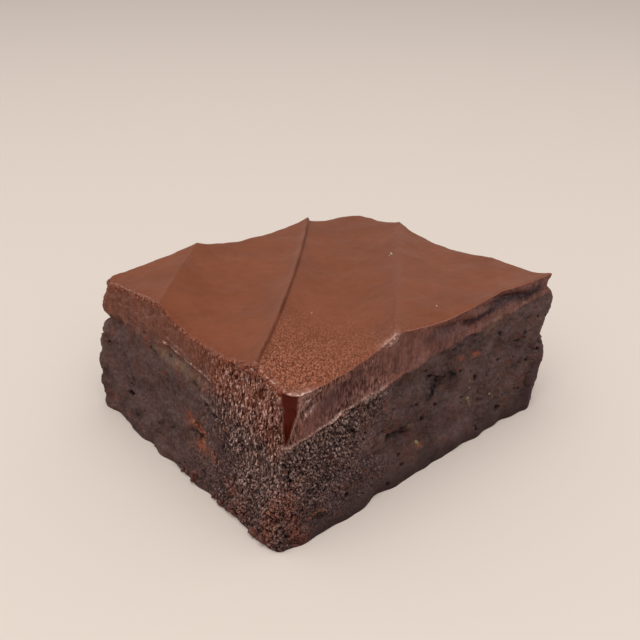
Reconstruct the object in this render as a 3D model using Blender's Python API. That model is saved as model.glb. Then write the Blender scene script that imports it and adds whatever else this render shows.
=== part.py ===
"""A glazed chocolate brownie: a hand-cut block of dense crumb under a thick layer of chocolate.

Both pieces are pulled out of one plan. A grid of plan points, u and v from -1 to 1, is
extruded in levels, and every point is then placed by the same functions: the four cut
faces, the rounding of the corners, the seam between crumb and chocolate, and the swept top
with its parallel knife strokes. All sizes are in millimetres until a mesh is made.
"""

import bmesh
import bpy
import numpy as np

MM = 0.001

# The block: X along its long cut faces, Y along its short ones, Z up from its flat base
LENGTH = 92.0
WIDTH = 75.0
HALF_X = LENGTH / 2
HALF_Y = WIDTH / 2
MIDDLE_X = -0.52  # middle of the finished outline, taken off so that the origin lies under it
MIDDLE_Y = -0.42
GAP = 0.3  # between the crumb and the chocolate on it
SEAM_SLACK = 0.2  # added to the gap inside the outline, where the two faces bend

# The plan grid, whose cells are shaped so that their diagonals run along the knife strokes
CELLS_X = 40
CELLS_Y = 35
CRUMB_LEVELS = (0.03, 0.1, 0.2, 0.32, 0.45, 0.58, 0.71, 0.85, 1.0)
CHOCOLATE_LEVELS = (0.88, 0.66, 0.44, 0.22, 0.0)
UNDERSIDE = -1.0  # marks the points of the seam inside the outline
SEAM_RING = 0.86  # place of the ring of points inside the seam's outline
FOOT_INSET = 0.4  # how far the flat base stays inside the cut faces

# Knife strokes run from the near corner to the far one. Each crest has its place across
# them, its height at the near and far end, and the sag of the hollow that follows it.
STROKE_X = 0.733
STROKE_Y = 0.680
STROKE_NEAR = -50.0
STROKE_FAR = 45.0
CRESTS = (
    (-58.0, 37.4, 37.4, 0.4, 0.4),
    (-36.6, 41.6, 38.9, 3.9, 1.9),
    (-9.95, 41.1, 37.1, 4.6, 2.7),
    (17.9, 42.8, 36.5, 1.3, 2.3),
    (43.3, 43.0, 34.6, 0.4, 0.4),
    (60.0, 43.0, 34.4, 0.0, 0.0),
)
HOLLOW_POWER = 0.85  # below 1 the hollows are flat at the bottom and the crests sharp
FOLD = -9.95  # the crest where the last stroke folded over, with a step down beyond it
FOLD_BOW = 1.7  # how far it swings across the strokes halfway along
FOLD_REACH = 12.0
FOLD_STEP = 0.9
FOLD_FADE = 5.0
FOLD_RIM = 0.4
FOLD_RIM_FADE = 1.5
LIP_HEIGHT = 1.1  # raised edge over the right half of the front face
LIP_FADE = 3.0
LIP_START = 2.0
LIP_RUN = 16.0

# The seam: low at the near corner, rising along the front face, level round the back
SEAM_NEAR = 24.6
SEAM_RISE = 8.0
SEAM_BACK = 27.9
SEAM_BLEND = 40.0
SEAM_WAVES = ((0.5, 9.0), (0.4, 6.0))  # along X and along Y: height, run

# Corner radius at the foot and at the top, by the signs of X and Y
CORNERS = {(-1, -1): (0.8, 3.6), (-1, 1): (3.0, 4.6), (1, -1): (2.6, 0.8), (1, 1): (3.2, 4.2)}
CORNER_START = 14.0  # height where it begins to change
CORNER_RUN = 24.0
FACE_START = 0.72  # share of the half plan beyond which a point follows its cut face

# Marks on the cut faces: from and to (place along the face, height), radius, push outwards
LEFT_MARKS = (
    ((20, 0), (-34, 0), 7.0, 1.4),  # foot spread outwards
    ((-30, 1), (-34, 2), 4.5, 0.5),  # crumbs at the near foot
    ((39, 3), (37, 30), 6.5, 1.7),  # swollen far corner
    ((37, 27), (29, 26.0), 1.9, -1.5),  # notch under the chocolate
    ((8, 29), (-11, 29), 1.6, -0.6),  # fold left by the knife
    ((-2.5, 15), (-8.5, 14.6), 1.4, -0.8),  # torn crumb
    ((-8, 12.5), (-7.5, 10.5), 1.2, -0.6),
    ((24, 33), (2, 34.5), 3.0, 0.5),  # chocolate pushed out between strokes
    ((18, 13), (10, 17), 3.5, -0.5),
)
FRONT_MARKS = (
    ((-46, 0), (-26, 0), 5.0, 0.9),  # crumbs spread at the near foot
    ((-40, 0), (38, 0), 5.0, 0.9),  # foot spread outwards
    ((36, 4), (46, 12), 6.5, 1.0),  # lump at the far foot
    ((27, 9), (39.5, 18), 1.7, -1.3),  # crease above the lump
    ((-1.5, 26), (7, 18.4), 2.0, -1.5),  # torn pit
    ((14, 13), (23, 10.5), 2.2, -0.5),
    ((1, 37.2), (12, 34.8), 1.5, -1.2),  # crease under the edge of the chocolate
    ((22, 38), (30, 36.6), 1.4, -1.1),
    ((-40, 35), (-26, 31), 2.4, -0.4),
    ((-14, 40), (-14, 37), 2.0, 0.7),  # crest pushed over the edge
)
RIGHT_MARKS = (
    ((-38, 39), (-37, 38), 1.8, 0.9),  # tip drawn out by the knife
    ((-38, 35.6), (-30, 34.5), 1.6, -1.2),
    ((-38, 30.5), (-26, 29), 4.4, 2.3),
    ((-38, 20.5), (-29, 21), 3.0, -0.9),
    ((-38, 15), (-20, 12), 4.5, 1.0),
    ((2, 22), (9, 14), 2.2, -1.2),
    ((20, 27), (30, 27.5), 1.8, -0.9),
    ((-12, 4), (-2, 8), 3.0, -0.6),
)
BACK_MARKS = (
    ((-46, 3), (-44, 30), 6.5, 1.6),  # swollen far corner
    ((-44, 27), (-28, 26), 1.9, -1.3),
    ((-14, 18), (-5, 12), 2.4, -1.2),
    ((12, 26), (24, 27), 1.7, -0.8),
    ((22, 9), (29, 14), 2.6, -0.9),
    ((4, 3), (12, 5), 3.0, 0.7),
)
LEANS = {"left": 2.2, "front": 0.1, "right": 1.6, "back": 2.0}  # inwards at full height
FULL_HEIGHT = 40.0
GRAIN_SHIFTS = {"left": 124.0, "front": 155.0, "right": 93.0, "back": 217.0}

# Roughness: (grain across, grain upwards, depth). The chocolate's is drawn down by the knife.
CRUMB_GRAINS = ((15.0, 12.0, 0.55), (5.2, 4.6, 0.75))
CHOCOLATE_GRAINS = ((14.0, 14.0, 0.35), (4.4, 15.0, 0.45))
TOP_GRAIN = 9.0
TOP_GRAIN_DEPTH = 0.18
RIPPLE_GAIN = 1.5
SLOPES = np.random.default_rng(11).uniform(0.0, 2 * np.pi, (64, 64))

CRUMB_LOOK = ("brownie crumb", (0.052, 0.026, 0.018), 0.88)
CHOCOLATE_LOOK = ("spread chocolate", (0.135, 0.046, 0.026), 0.42)


def clear_scene():
    for item in list(bpy.data.objects):
        bpy.data.objects.remove(item, do_unlink=True)


def smooth(value):
    """Eases a value from 0 to 1, held at both ends."""
    held = np.clip(value, 0.0, 1.0)
    return held * held * (3 - 2 * held)


def ripple(along, across, grain):
    """Even noise between about -1 and 1: slopes on a lattice, eased from point to point."""
    cell_a = np.floor(along / grain)
    cell_b = np.floor(across / grain)
    total = np.zeros_like(along)
    for step_a, step_b in ((0, 0), (0, 1), (1, 0), (1, 1)):
        off_a = along / grain - cell_a - step_a
        off_b = across / grain - cell_b - step_b
        row = (cell_a + step_a).astype(int) % len(SLOPES)
        column = (cell_b + step_b).astype(int) % len(SLOPES)
        slope = SLOPES[row, column]
        nearness = smooth(1 - np.abs(off_a)) * smooth(1 - np.abs(off_b))
        total += nearness * (np.cos(slope) * off_a + np.sin(slope) * off_b)
    return RIPPLE_GAIN * total


def marked(marks, along, height):
    """Sum of soft grooves and swellings, each along a short line on a cut face."""
    total = np.zeros_like(along)
    for start, end, radius, push in marks:
        run = np.subtract(end, start)
        to_point = np.stack([along - start[0], height - start[1]], axis=-1)
        share = np.clip(to_point @ run / (run @ run), 0.0, 1.0)
        miss = np.linalg.norm(to_point - share[:, None] * run, axis=-1)
        total += push * np.exp(-((miss / radius) ** 2))
    return total


def fold_bow(x, y):
    """How far the folded crest swings across the strokes, felt only near it."""
    along = x * STROKE_X + y * STROKE_Y
    across = x * STROKE_Y - y * STROKE_X
    swing = FOLD_BOW * np.clip(1 - (along / STROKE_NEAR) ** 2, 0.0, 1.0)
    return swing * np.exp(-(((across - FOLD) / FOLD_REACH) ** 2))


def top_height(x, y):
    """The swept top: hollows hung between crests, a folded crest and a raised front lip."""
    s = x * STROKE_X + y * STROKE_Y
    far = (s - STROKE_NEAR) / (STROKE_FAR - STROKE_NEAR)
    bent = x * STROKE_Y - y * STROKE_X - fold_bow(x, y)
    bent = np.clip(bent, CRESTS[0][0], CRESTS[-1][0] - 0.001)
    height = np.zeros_like(x)
    for crest, following in zip(CRESTS, CRESTS[1:]):
        place, near_height, far_height, near_sag, far_sag = crest
        share = np.clip((bent - place) / (following[0] - place), 0.0, 1.0)
        inside = (bent >= place) & (bent < following[0])
        here = near_height + (far_height - near_height) * far
        there = following[1] + (following[2] - following[1]) * far
        sag = near_sag + (far_sag - near_sag) * np.clip(far, 0.0, 1.0)
        hollow = (4 * share * (1 - share)) ** HOLLOW_POWER
        height = np.where(inside, here + (there - here) * share - sag * hollow, height)
    past = bent - FOLD
    drop = FOLD_STEP * np.exp(-np.abs(past) / FOLD_FADE)
    rim = FOLD_RIM * np.exp(-np.abs(past) / FOLD_RIM_FADE)
    step = np.where(past > 0, drop, -rim)
    lip = LIP_HEIGHT * np.exp(-(y + HALF_Y) / LIP_FADE) * smooth((x - LIP_START) / LIP_RUN)
    return height - step + lip + TOP_GRAIN_DEPTH * ripple(x, y, TOP_GRAIN)


def seam_height(x, y):
    """Where the crumb ends and the chocolate begins."""
    along = np.clip((x + HALF_X) / LENGTH, 0.0, 1.0)
    front = SEAM_NEAR + SEAM_RISE * (1 - (1 - along) ** 2)
    (wave_x, run_x), (wave_y, run_y) = SEAM_WAVES
    back = SEAM_BACK + wave_x * np.sin(x / run_x) + wave_y * np.sin(y / run_y)
    blend = smooth((y + HALF_Y) / SEAM_BLEND)
    return front + (back - front) * blend


def corner_radius(x, y, height):
    """The plan's corner radius, eased from its foot value to its top value."""
    rise = smooth((height - CORNER_START) / CORNER_RUN)
    radius = np.zeros_like(x)
    for (side_x, side_y), (foot, top) in CORNERS.items():
        here = (np.sign(x + 1e-9) == side_x) & (np.sign(y + 1e-9) == side_y)
        radius = np.where(here, foot + (top - foot) * rise, radius)
    return radius


def rounded(x, y, radius):
    """Pulls the square corners of the plan in to arcs of the given radius."""
    past_x = np.maximum(np.abs(x) - (HALF_X - radius), 0.0)
    past_y = np.maximum(np.abs(y) - (HALF_Y - radius), 0.0)
    length = np.maximum(np.hypot(past_x, past_y), 1e-9)
    keep = np.maximum(past_x, past_y) / length
    keep = np.where(length > 1e-8, keep, 1.0)
    new_x = np.sign(x) * (np.abs(x) - past_x + past_x * keep)
    new_y = np.sign(y) * (np.abs(y) - past_y + past_y * keep)
    return new_x, new_y


def face_push(face, marks, along, height, grains):
    """How far a cut face stands out of its upright plane: its lean, marks and roughness."""
    push = marked(marks, along, height) - LEANS[face] * smooth(height / FULL_HEIGHT)
    for across, upwards, depth in grains:
        shifted = height * across / upwards + GRAIN_SHIFTS[face]
        push += depth * ripple(along, shifted, across)
    return push


def cut_faces(u, v, height, grains):
    """Places plan points at a height: rounded corners first, then the push of each face."""
    radius = corner_radius(u, v, height)
    x, y = rounded(u * HALF_X, v * HALF_Y, radius)
    near_x = smooth((np.abs(u) - FACE_START) / (1 - FACE_START))
    near_y = smooth((np.abs(v) - FACE_START) / (1 - FACE_START))
    left = face_push("left", LEFT_MARKS, y, height, grains)
    right = face_push("right", RIGHT_MARKS, y, height, grains)
    front = face_push("front", FRONT_MARKS, x, height, grains)
    back = face_push("back", BACK_MARKS, x, height, grains)
    push_x = np.where(u < 0, -left, right) * near_x
    push_y = np.where(v < 0, -front, back) * near_y
    return x + push_x, y + push_y


def outline(bm):
    return [edge for edge in bm.edges if edge.is_boundary]


def extrude_outline(bm, level, spread=1.0):
    """Extrudes the open outline to the next level, drawing it in by spread."""
    made = bmesh.ops.extrude_edge_only(bm, edges=outline(bm))["geom"]
    for vert in made:
        if isinstance(vert, bmesh.types.BMVert):
            vert.co = (vert.co.x * spread, vert.co.y * spread, level)


def close_seam(bm):
    """Closes the outline with a ring and a fan, the same on both sides of the seam."""
    extrude_outline(bm, UNDERSIDE, SEAM_RING)
    fan = bmesh.ops.contextual_create(bm, geom=outline(bm))["faces"]
    bmesh.ops.poke(bm, faces=fan)


def plan_grid(level):
    bm = bmesh.new()
    bmesh.ops.create_grid(bm, x_segments=CELLS_X, y_segments=CELLS_Y, size=1.0)
    for vert in bm.verts:
        vert.co.z = level
    return bm


def finish(bm, name, look, place):
    """Turns plan points into millimetres with place(), then makes the object in metres."""
    bmesh.ops.recalc_face_normals(bm, faces=bm.faces)
    mesh = bpy.data.meshes.new(name)
    bm.to_mesh(mesh)
    bm.free()
    plan = np.empty(len(mesh.vertices) * 3)
    mesh.vertices.foreach_get("co", plan)
    points = place(*plan.reshape(-1, 3).T) - (MIDDLE_X, MIDDLE_Y, 0.0)
    mesh.vertices.foreach_set("co", (points * MM).ravel())
    mesh.shade_smooth()
    mesh.set_sharp_from_angle(angle=0.7)
    item = bpy.data.objects.new(name, mesh)
    bpy.context.scene.collection.objects.link(item)
    title, colour, roughness = look
    material = bpy.data.materials.new(title)
    material.use_nodes = True
    shader = material.node_tree.nodes["Principled BSDF"]
    shader.inputs["Base Color"].default_value = (*colour, 1.0)
    shader.inputs["Roughness"].default_value = roughness
    shader.inputs["Metallic"].default_value = 0.0
    mesh.materials.append(material)
    return item


def place_crumb(u, v, level):
    """Crumb points: the cut faces from the base up to the seam, and the seam itself."""
    inside = level < 0
    seam = seam_height(u * HALF_X, v * HALF_Y)
    z = np.where(inside, seam - SEAM_SLACK, level * seam)
    x, y = cut_faces(u, v, z, CRUMB_GRAINS)
    drawn_in = np.where(level == 0, FOOT_INSET, 0.0)
    x -= np.sign(u) * drawn_in * (np.abs(u) > 0.999)
    y -= np.sign(v) * drawn_in * (np.abs(v) > 0.999)
    return np.stack([x, y, z], axis=-1)


def place_chocolate(u, v, level):
    """Chocolate points: the top, the cut faces down to the seam, and the underside."""
    inside = level < 0
    seam = seam_height(u * HALF_X, v * HALF_Y)
    top = top_height(u * HALF_X, v * HALF_Y)
    z = np.where(inside, seam, seam + (top - seam) * level)
    at_seam = inside | (level == 0)
    x, y = cut_faces(u, v, z, CHOCOLATE_GRAINS)
    seam_x, seam_y = cut_faces(u, v, z, CRUMB_GRAINS)
    x = np.where(at_seam, seam_x, x)
    y = np.where(at_seam, seam_y, y)
    follow = fold_bow(x, y) * (level == 1) * (1 - u**8) * (1 - v**8)
    x = x + follow * STROKE_Y
    y = y - follow * STROKE_X
    z = np.where(level == 1, top_height(x, y), z) + np.where(at_seam, GAP, 0.0)
    return np.stack([x, y, z], axis=-1)


def make_crumb():
    bm = plan_grid(0.0)
    bmesh.ops.dissolve_faces(bm, faces=bm.faces[:])
    for level in CRUMB_LEVELS:
        extrude_outline(bm, level)
    close_seam(bm)
    return finish(bm, "crumb", CRUMB_LOOK, place_crumb)


def make_chocolate():
    bm = plan_grid(1.0)
    bmesh.ops.triangulate(bm, faces=bm.faces[:], quad_method="FIXED")
    for level in CHOCOLATE_LEVELS:
        extrude_outline(bm, level)
    close_seam(bm)
    return finish(bm, "frosting", CHOCOLATE_LOOK, place_chocolate)


clear_scene()
make_crumb()
make_chocolate()
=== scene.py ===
"""Glazed chocolate brownie: the looks of a hand-cut block of dense crumb under spread chocolate.

The forms below work in millimetres on a plan whose X and Y run from the middle of the block.
Meshes are written in metres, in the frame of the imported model.
"""

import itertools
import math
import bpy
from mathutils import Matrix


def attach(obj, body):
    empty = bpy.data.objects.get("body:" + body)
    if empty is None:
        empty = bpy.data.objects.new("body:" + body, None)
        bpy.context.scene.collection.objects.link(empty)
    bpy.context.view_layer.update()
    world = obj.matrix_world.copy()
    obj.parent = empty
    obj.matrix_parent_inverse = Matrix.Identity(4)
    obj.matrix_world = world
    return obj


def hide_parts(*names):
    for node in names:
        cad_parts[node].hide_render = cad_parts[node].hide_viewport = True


bl_info = {
    "name": "Glazed Chocolate Brownie",
    "version": (1, 0, 0),
    "blender": (4, 5, 0),
    "location": "3D View > Sidebar > Brownie",
    "description": "Builds a frosted brownie, its loose crumbs and its studio stage",
    "category": "Add Mesh",
}

from types import SimpleNamespace

import bpy
import numpy as np
from bpy.props import FloatProperty, FloatVectorProperty, IntProperty, PointerProperty
from bpy.types import Operator, Panel, PropertyGroup
from mathutils import Matrix, Vector

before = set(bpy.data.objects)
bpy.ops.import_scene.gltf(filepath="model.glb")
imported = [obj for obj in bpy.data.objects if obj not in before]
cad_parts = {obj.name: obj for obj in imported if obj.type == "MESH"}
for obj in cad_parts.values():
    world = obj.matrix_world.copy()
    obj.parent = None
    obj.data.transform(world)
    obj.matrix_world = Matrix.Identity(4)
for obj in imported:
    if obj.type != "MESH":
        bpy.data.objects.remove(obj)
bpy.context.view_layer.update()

MM = 0.001
HALF_X = 46.0
HALF_Y = 37.5
MIDDLE = np.array([-0.52, -0.42, 0.0])

# Knife strokes: their direction on the plan, and where the straight crests are measured
STROKE_X = 0.733
STROKE_Y = 0.680
STROKE_NEAR = -50.0
STROKE_FAR = 45.0

# The folded crest: place across the strokes, swing, and the step behind it
FOLD = -9.95
FOLD_BOW = 1.7
FOLD_REACH = 12.0
FOLD_STEP = (0.35, 0.9)
FOLD_FADE = 5.0
FOLD_RIM = 0.2
FOLD_RIM_FADE = 1.5
FOLD_WIDTH = 0.5

# Crests: place across, height at the near and far end, sag of the hollow that follows
CRESTS = (
    (-58.0, 37.4, 37.4, 0.4, 0.4),
    (-36.6, 41.6, 38.9, 3.9, 1.9),
    (FOLD, 41.1, 37.1, 4.6, 2.7),
    (17.9, 42.8, 36.5, 1.3, 2.3),
    (43.3, 43.0, 34.6, 0.4, 0.4),
    (60.0, 43.0, 34.4, 0.0, 0.0),
)
HOLLOW_POWER = 0.85

# The raised lip of the top along the front face
LIP_HEIGHT = 1.1
LIP_FADE = 3.0
LIP_START = 2.0
LIP_RUN = 16.0

# Painted highlight bands along the crests, which also lift the top a little there: place across,
# strength, width. Scratches, painted as thin lines of shade: place, then reach along X
CREST_HIGHLIGHT_BANDS = (
    (-45.0, 0.3, 0.75),
    (-36.6, 0.5, 0.75),
    (-11.0, 0.7, 0.75),
    (17.9, 0.9, 1.5),
    (30.5, 0.25, 0.75),
    (43.3, 0.3, 0.75),
)
SCRATCH_WIDTH = 0.3
SCRATCHES = ((-26.6, -0.6, 0.9), (11.9, 26.9, 0.5))
NEAR_FADE = 34.0
EDGE_FADE = 0.45
FAR_LEFT = -30.0
FAR_LEFT_RUN = 12.0

# The painted highlight and coat along the top's edge: places along the front with widths, its end on the
# left
LIT_LIPS = ((-40.5, 2.8), (-15.4, 2.2))
LIT_LEFT_END = -25.5
LIT_LEFT_RUN = 2.0
LIT_WIDTH = 0.6

# The seam between crumb and chocolate
SEAM_NEAR = 24.6
SEAM_RISE = 8.0
SEAM_BACK = 27.9
SEAM_BLEND = 40.0
SEAM_WAVES = ((0.5, 9.0), (0.4, 6.0))

# Corner radius at the foot and at the top, by the signs of X and Y
CORNERS = {(-1, -1): (0.8, 3.6), (-1, 1): (3.0, 4.6), (1, -1): (2.6, 0.8), (1, 1): (3.2, 4.2)}
CORNER_START = 14.0
CORNER_RUN = 24.0
FACE_START = 0.72

# Zones of the cut faces: crisp grain by the near corner, its glossy facet, the pressed foot
FACE_BLEND = 2.0
CRISP_REACH = 38.0
CRISP_WAVE = 9.0
CRISP_FADE = 24.0
RAGGED_SEAM = 9.0
CLEAN_SEAM = 0.3
FACET_WIDTH = 3.2
FACET_RISE = 14.0
FACET_DEPTH = 0.9
RIDGE_HEIGHT = 0.35
FOOT_HEIGHT = 4.5
FOOT_START = -44.0
FOOT_RUN = 6.0
PULLED_START = -16.0
PULLED_RUN = 14.0
# Painted highlights on the grain's tops fade out towards the foot below this height
LUSTRE_START = 4.0
LUSTRE_RUN = 14.0
RIM_FADE = 1.1
RIM_BLUSH = 3.2
BURR_PLACE = 0.55
BURR_HEIGHT = 0.42
POLISH = ((-42.5, 37.2, -37.0, 37.7, 0.6, 1.0),)
FOOT_HELD = 0.8
FAR_BELOW_TOP = 9.0

# Where the pieces meet and close: overlap at the seam, sink of hidden edges, hidden middles
SEAM_OVERLAP = 0.05
SEAM_EASE = 2.6
TURN_IN = 0.88
SIDE_SINK = 3.2
CRUMB_CORE = ((0, 0, 26.0), (0, 0, 0))
FROSTING_CORE = ((0, 0, 29.5), (0, 0, 29.0))
TOP_CORE = (0.0, 0.0, 30.0)

# Marks on the cut faces: place and height at the start and at the end, radius, push outwards
MARKS = {
    "left": (
        (20, 0, -34, 0, 7.0, 1.4),
        (-30, 1, -34, 2, 4.5, 0.5),
        (39, 3, 37, 30, 6.5, 1.7),
        (37, 27, 29, 26.0, 1.9, -1.5),
        (8, 29, -11, 29, 1.6, -0.6),
        (-2.5, 15, -8.5, 14.6, 1.4, -0.8),
        (-8, 12.5, -7.5, 10.5, 1.2, -0.6),
        (24, 33, 2, 34.5, 3.0, 0.5),
        (18, 13, 10, 17, 3.5, -0.5),
    ),
    "front": (
        (-46, 0, -26, 0, 5.0, 0.9),
        (-40, 0, 38, 0, 5.0, 0.9),
        (36, 4, 46, 12, 6.5, 1.0),
        (27, 9, 39.5, 18, 1.7, -1.3),
        (-1.5, 26, 7, 18.4, 2.0, -1.5),
        (14, 13, 23, 10.5, 2.2, -0.5),
        (1, 37.2, 12, 34.8, 1.5, -1.2),
        (22, 38, 30, 36.6, 1.4, -1.1),
        (-40, 35, -26, 31, 2.4, -0.4),
        (-14, 40, -14, 37, 2.0, 0.7),
    ),
    "right": (
        (-38, 39, -37, 38, 1.8, 0.9),
        (-38, 35.6, -30, 34.5, 1.6, -1.2),
        (-38, 30.5, -26, 29, 4.4, 2.3),
        (-38, 20.5, -29, 21, 3.0, -0.9),
        (-38, 15, -20, 12, 4.5, 1.0),
        (2, 22, 9, 14, 2.2, -1.2),
        (20, 27, 30, 27.5, 1.8, -0.9),
        (-12, 4, -2, 8, 3.0, -0.6),
    ),
    "back": (
        (-46, 3, -44, 30, 6.5, 1.6),
        (-44, 27, -28, 26, 1.9, -1.3),
        (-14, 18, -5, 12, 2.4, -1.2),
        (12, 26, 24, 27, 1.7, -0.8),
        (22, 9, 29, 14, 2.6, -0.9),
        (4, 3, 12, 5, 3.0, 0.7),
    ),
}

# How far each face leans in at full height, and the ripples: width, height, depth
LEANS = {"left": 2.2, "front": 0.1, "right": 1.6, "back": 2.0}
FULL_HEIGHT = 40.0
GRAIN_SHIFTS = {"left": 124.0, "front": 155.0, "right": 93.0, "back": 217.0}
CRUMB_GRAINS = ((15.0, 12.0, 0.55), (5.2, 4.6, 0.75))
CHOCOLATE_GRAINS = ((14.0, 14.0, 0.35), (4.4, 15.0, 0.45))
TOP_GRAIN = 9.0
TOP_GRAIN_DEPTH = 0.18
RIPPLE_GAIN = 1.5
SLOPES = np.random.default_rng(11).uniform(0.0, 2 * np.pi, (64, 64))

# Finer marks, too small for the solids: the same columns
FINE_MARKS = {
    "left": (
        (-37, 33, -30, 35.5, 0.8, -0.35),
        (33.6, 3.2, 33.0, 4.2, 1.0, -0.7),
        (7.5, 31.2, -10.3, 29.2, 0.45, 0.4),
        (6.5, 29.8, -9.5, 27.6, 0.7, -0.5),
        (-3.7, 12.8, -8.6, 12.2, 0.8, -0.9),
        (-10.8, 21.6, -15.4, 21.2, 0.5, -0.5),
    ),
    "front": (
        (14, 38.0, 33, 36.2, 0.8, -0.6),
        (-3.9, 8.0, -3.0, 7.0, 0.9, -0.7),
        (-9.5, 12.5, -8.0, 12.0, 0.8, -0.8),
        (-44.5, 15.5, -44.5, 19.0, 0.8, -0.7),
        (-36.8, 4.0, -35.6, 4.2, 0.9, -0.9),
        (-40.6, 32.6, -35.6, 35.0, 0.7, -0.6),
        (-13.7, 13.9, -8.3, 13.5, 0.9, -0.7),
    ),
}

# What is painted on the left and the front face: the same columns, strength last
EMBERS = {
    "left": (
        (-2.6, 15.6, -7.4, 14.2, 1.5, 1.0),
        (-7.2, 10.6, -8.8, 10.2, 1.5, 1.0),
        (-12.6, 10.6, -13.4, 10.2, 1.1, 1.0),
        (33.4, 3.3, 32.8, 4.4, 0.9, 0.7),
        (26.0, 2.4, 24.0, 3.0, 0.8, 0.5),
        (-20.0, 7.0, -26.0, 3.0, 1.8, 0.3),
        (-34.0, 2.0, -36.5, 13.0, 2.2, 0.45),
    ),
    "front": (
        (-38.2, 4.6, -34.6, 5.2, 0.4, 0.8),
        (-44.2, 14.0, -42.6, 2.0, 2.4, 0.4),
        (9.0, 26.9, 10.2, 26.6, 0.55, 0.9),
        (14.4, 25.8, 16.6, 25.4, 0.6, 0.7),
        # This row paints the seam's lit line redder and lighter: painted highlight
        (-31.0, 26.4, -26.0, 27.6, 0.5, 0.5),
        (-17.0, 29.0, -12.0, 30.4, 0.8, 0.5),
        (43.9, 11.0, 44.4, 4.0, 0.8, 0.45),
        (-3.9, 7.6, -2.6, 6.8, 0.6, 0.7),
    ),
}
PALE = {
    "left": (
        (0.2, 28.2, 0.4, 27.4, 0.6, 0.7),
        (8.9, 27.8, 9.6, 27.0, 0.6, 0.5),
        (-5.9, 27.0, -6.6, 26.6, 0.5, 0.6),
        (12.0, 27.8, -5.0, 27.0, 1.3, 0.42),
        (-8.0, 11.2, -8.4, 10.9, 0.35, 0.6),
    ),
    "front": (
        (14.2, 12.4, 15.2, 11.0, 0.8, 0.5),
        (14.3, 19.0, 14.6, 17.4, 0.5, 0.7),
        (24.9, 9.5, 25.1, 9.2, 0.42, 1.0),
        (-4.6, 8.6, -3.2, 7.6, 0.7, 0.6),
        (-7.4, 15.0, -6.6, 14.6, 0.6, 0.5),
        (17.6, 30.0, 24.6, 34.0, 1.0, 0.3),
        (20.4, 27.0, 21.2, 23.4, 0.6, 0.25),
        (-24.3, 27.7, -23.5, 27.7, 0.45, 0.8),
        (-34.5, 5.6, -37.8, 5.4, 0.35, 0.6),
    ),
}
# These marks paint shade in the creases and under the front lip, together with the purple tone of smears
# and of the lump
PLUM = {
    "left": ((-14.0, 16.0, -20.0, 10.0, 3.0, 0.3),),
    "front": (
        (-34.0, 33.5, -20.0, 35.5, 2.2, 0.3),
        (-3.0, 36.2, 7.8, 36.0, 1.4, 0.55),
        (12.0, 34.8, 24.0, 36.4, 1.1, 0.95),
        (26.0, 36.6, 40.0, 35.4, 1.5, 0.95),
        (-39.0, 29.2, -32.0, 32.2, 2.2, 0.3),
        (-44.0, 9.0, -41.0, 1.0, 2.5, 0.3),
        (38.5, 5.0, 43.5, 9.5, 4.2, 0.9),
        (-8.0, 14.0, 8.0, 10.0, 5.0, 0.25),
    ),
}
# Painted shade in clefts, tears, holes, pits and under the front lip, and a painted shadow beside the
# lump at the right foot
PAINTED_SHADE = {
    "left": (
        (-3.9, 12.8, -8.4, 12.2, 0.5, 1.0),
        (-10.8, 21.6, -15.4, 21.2, 0.4, 0.8),
        (1.5, 20.6, -7.3, 22.0, 0.35, 0.4),
        (-13.4, 11.9, -14.8, 9.8, 0.4, 0.6),
        (-4.0, 25.9, -7.6, 25.6, 0.5, 0.6),
        (-36.2, 21.2, -36.6, 19.2, 0.7, 0.9),
    ),
    "front": (
        (-40.6, 32.5, -35.4, 35.0, 0.55, 0.75),
        (-13.7, 13.9, -8.3, 13.5, 0.75, 0.9),
        (-36.8, 4.0, -35.6, 4.2, 0.75, 1.0),
        (-1.2, 20.4, 2.8, 21.8, 1.7, 1.2),
        (5.4, 23.2, 7.4, 23.0, 1.0, 1.1),
        (0.0, 24.0, 0.9, 24.2, 0.7, 1.0),
        (9.6, 22.8, 10.8, 22.6, 0.5, 0.8),
        (31.2, 35.2, 38.0, 35.4, 0.8, 0.8),
        (14.0, 35.0, 21.0, 35.8, 0.5, 0.6),
        # Painted shadow beside the lump
        (34.0, 3.5, 41.0, 13.0, 0.9, 0.4),
        (-44.2, 21.2, -43.8, 19.2, 0.7, 0.9),
        (14.0, 11.9, 15.0, 11.3, 0.35, 0.7),
    ),
}
SHEEN = {
    "left": (
        (7.5, 31.2, -10.3, 29.2, 0.3, 0.7),
        (6.0, 32.8, -3.5, 31.0, 0.25, 0.4),
        (-8.0, 24.6, -12.0, 23.4, 0.5, 0.3),
    ),
    "front": (
        (-41.0, 33.8, -35.0, 36.2, 0.28, 0.7),
        (-39.8, 31.6, -36.8, 33.2, 0.24, 0.5),
        (-22.8, 28.2, -18.2, 28.6, 0.4, 0.6),
        (33.3, 33.5, 34.4, 33.2, 0.5, 0.35),
    ),
}
SMOOTH = {
    "left": ((-15.0, 15.0, -19.0, 11.0, 2.6, 0.6),),
    "front": (
        (-38.6, 29.4, -31.9, 32.4, 2.6, 0.8),
        (-3.0, 36.2, 7.8, 36.0, 1.4, 0.6),
        (38.5, 5.0, 43.5, 9.5, 5.0, 0.8),
    ),
}

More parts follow.
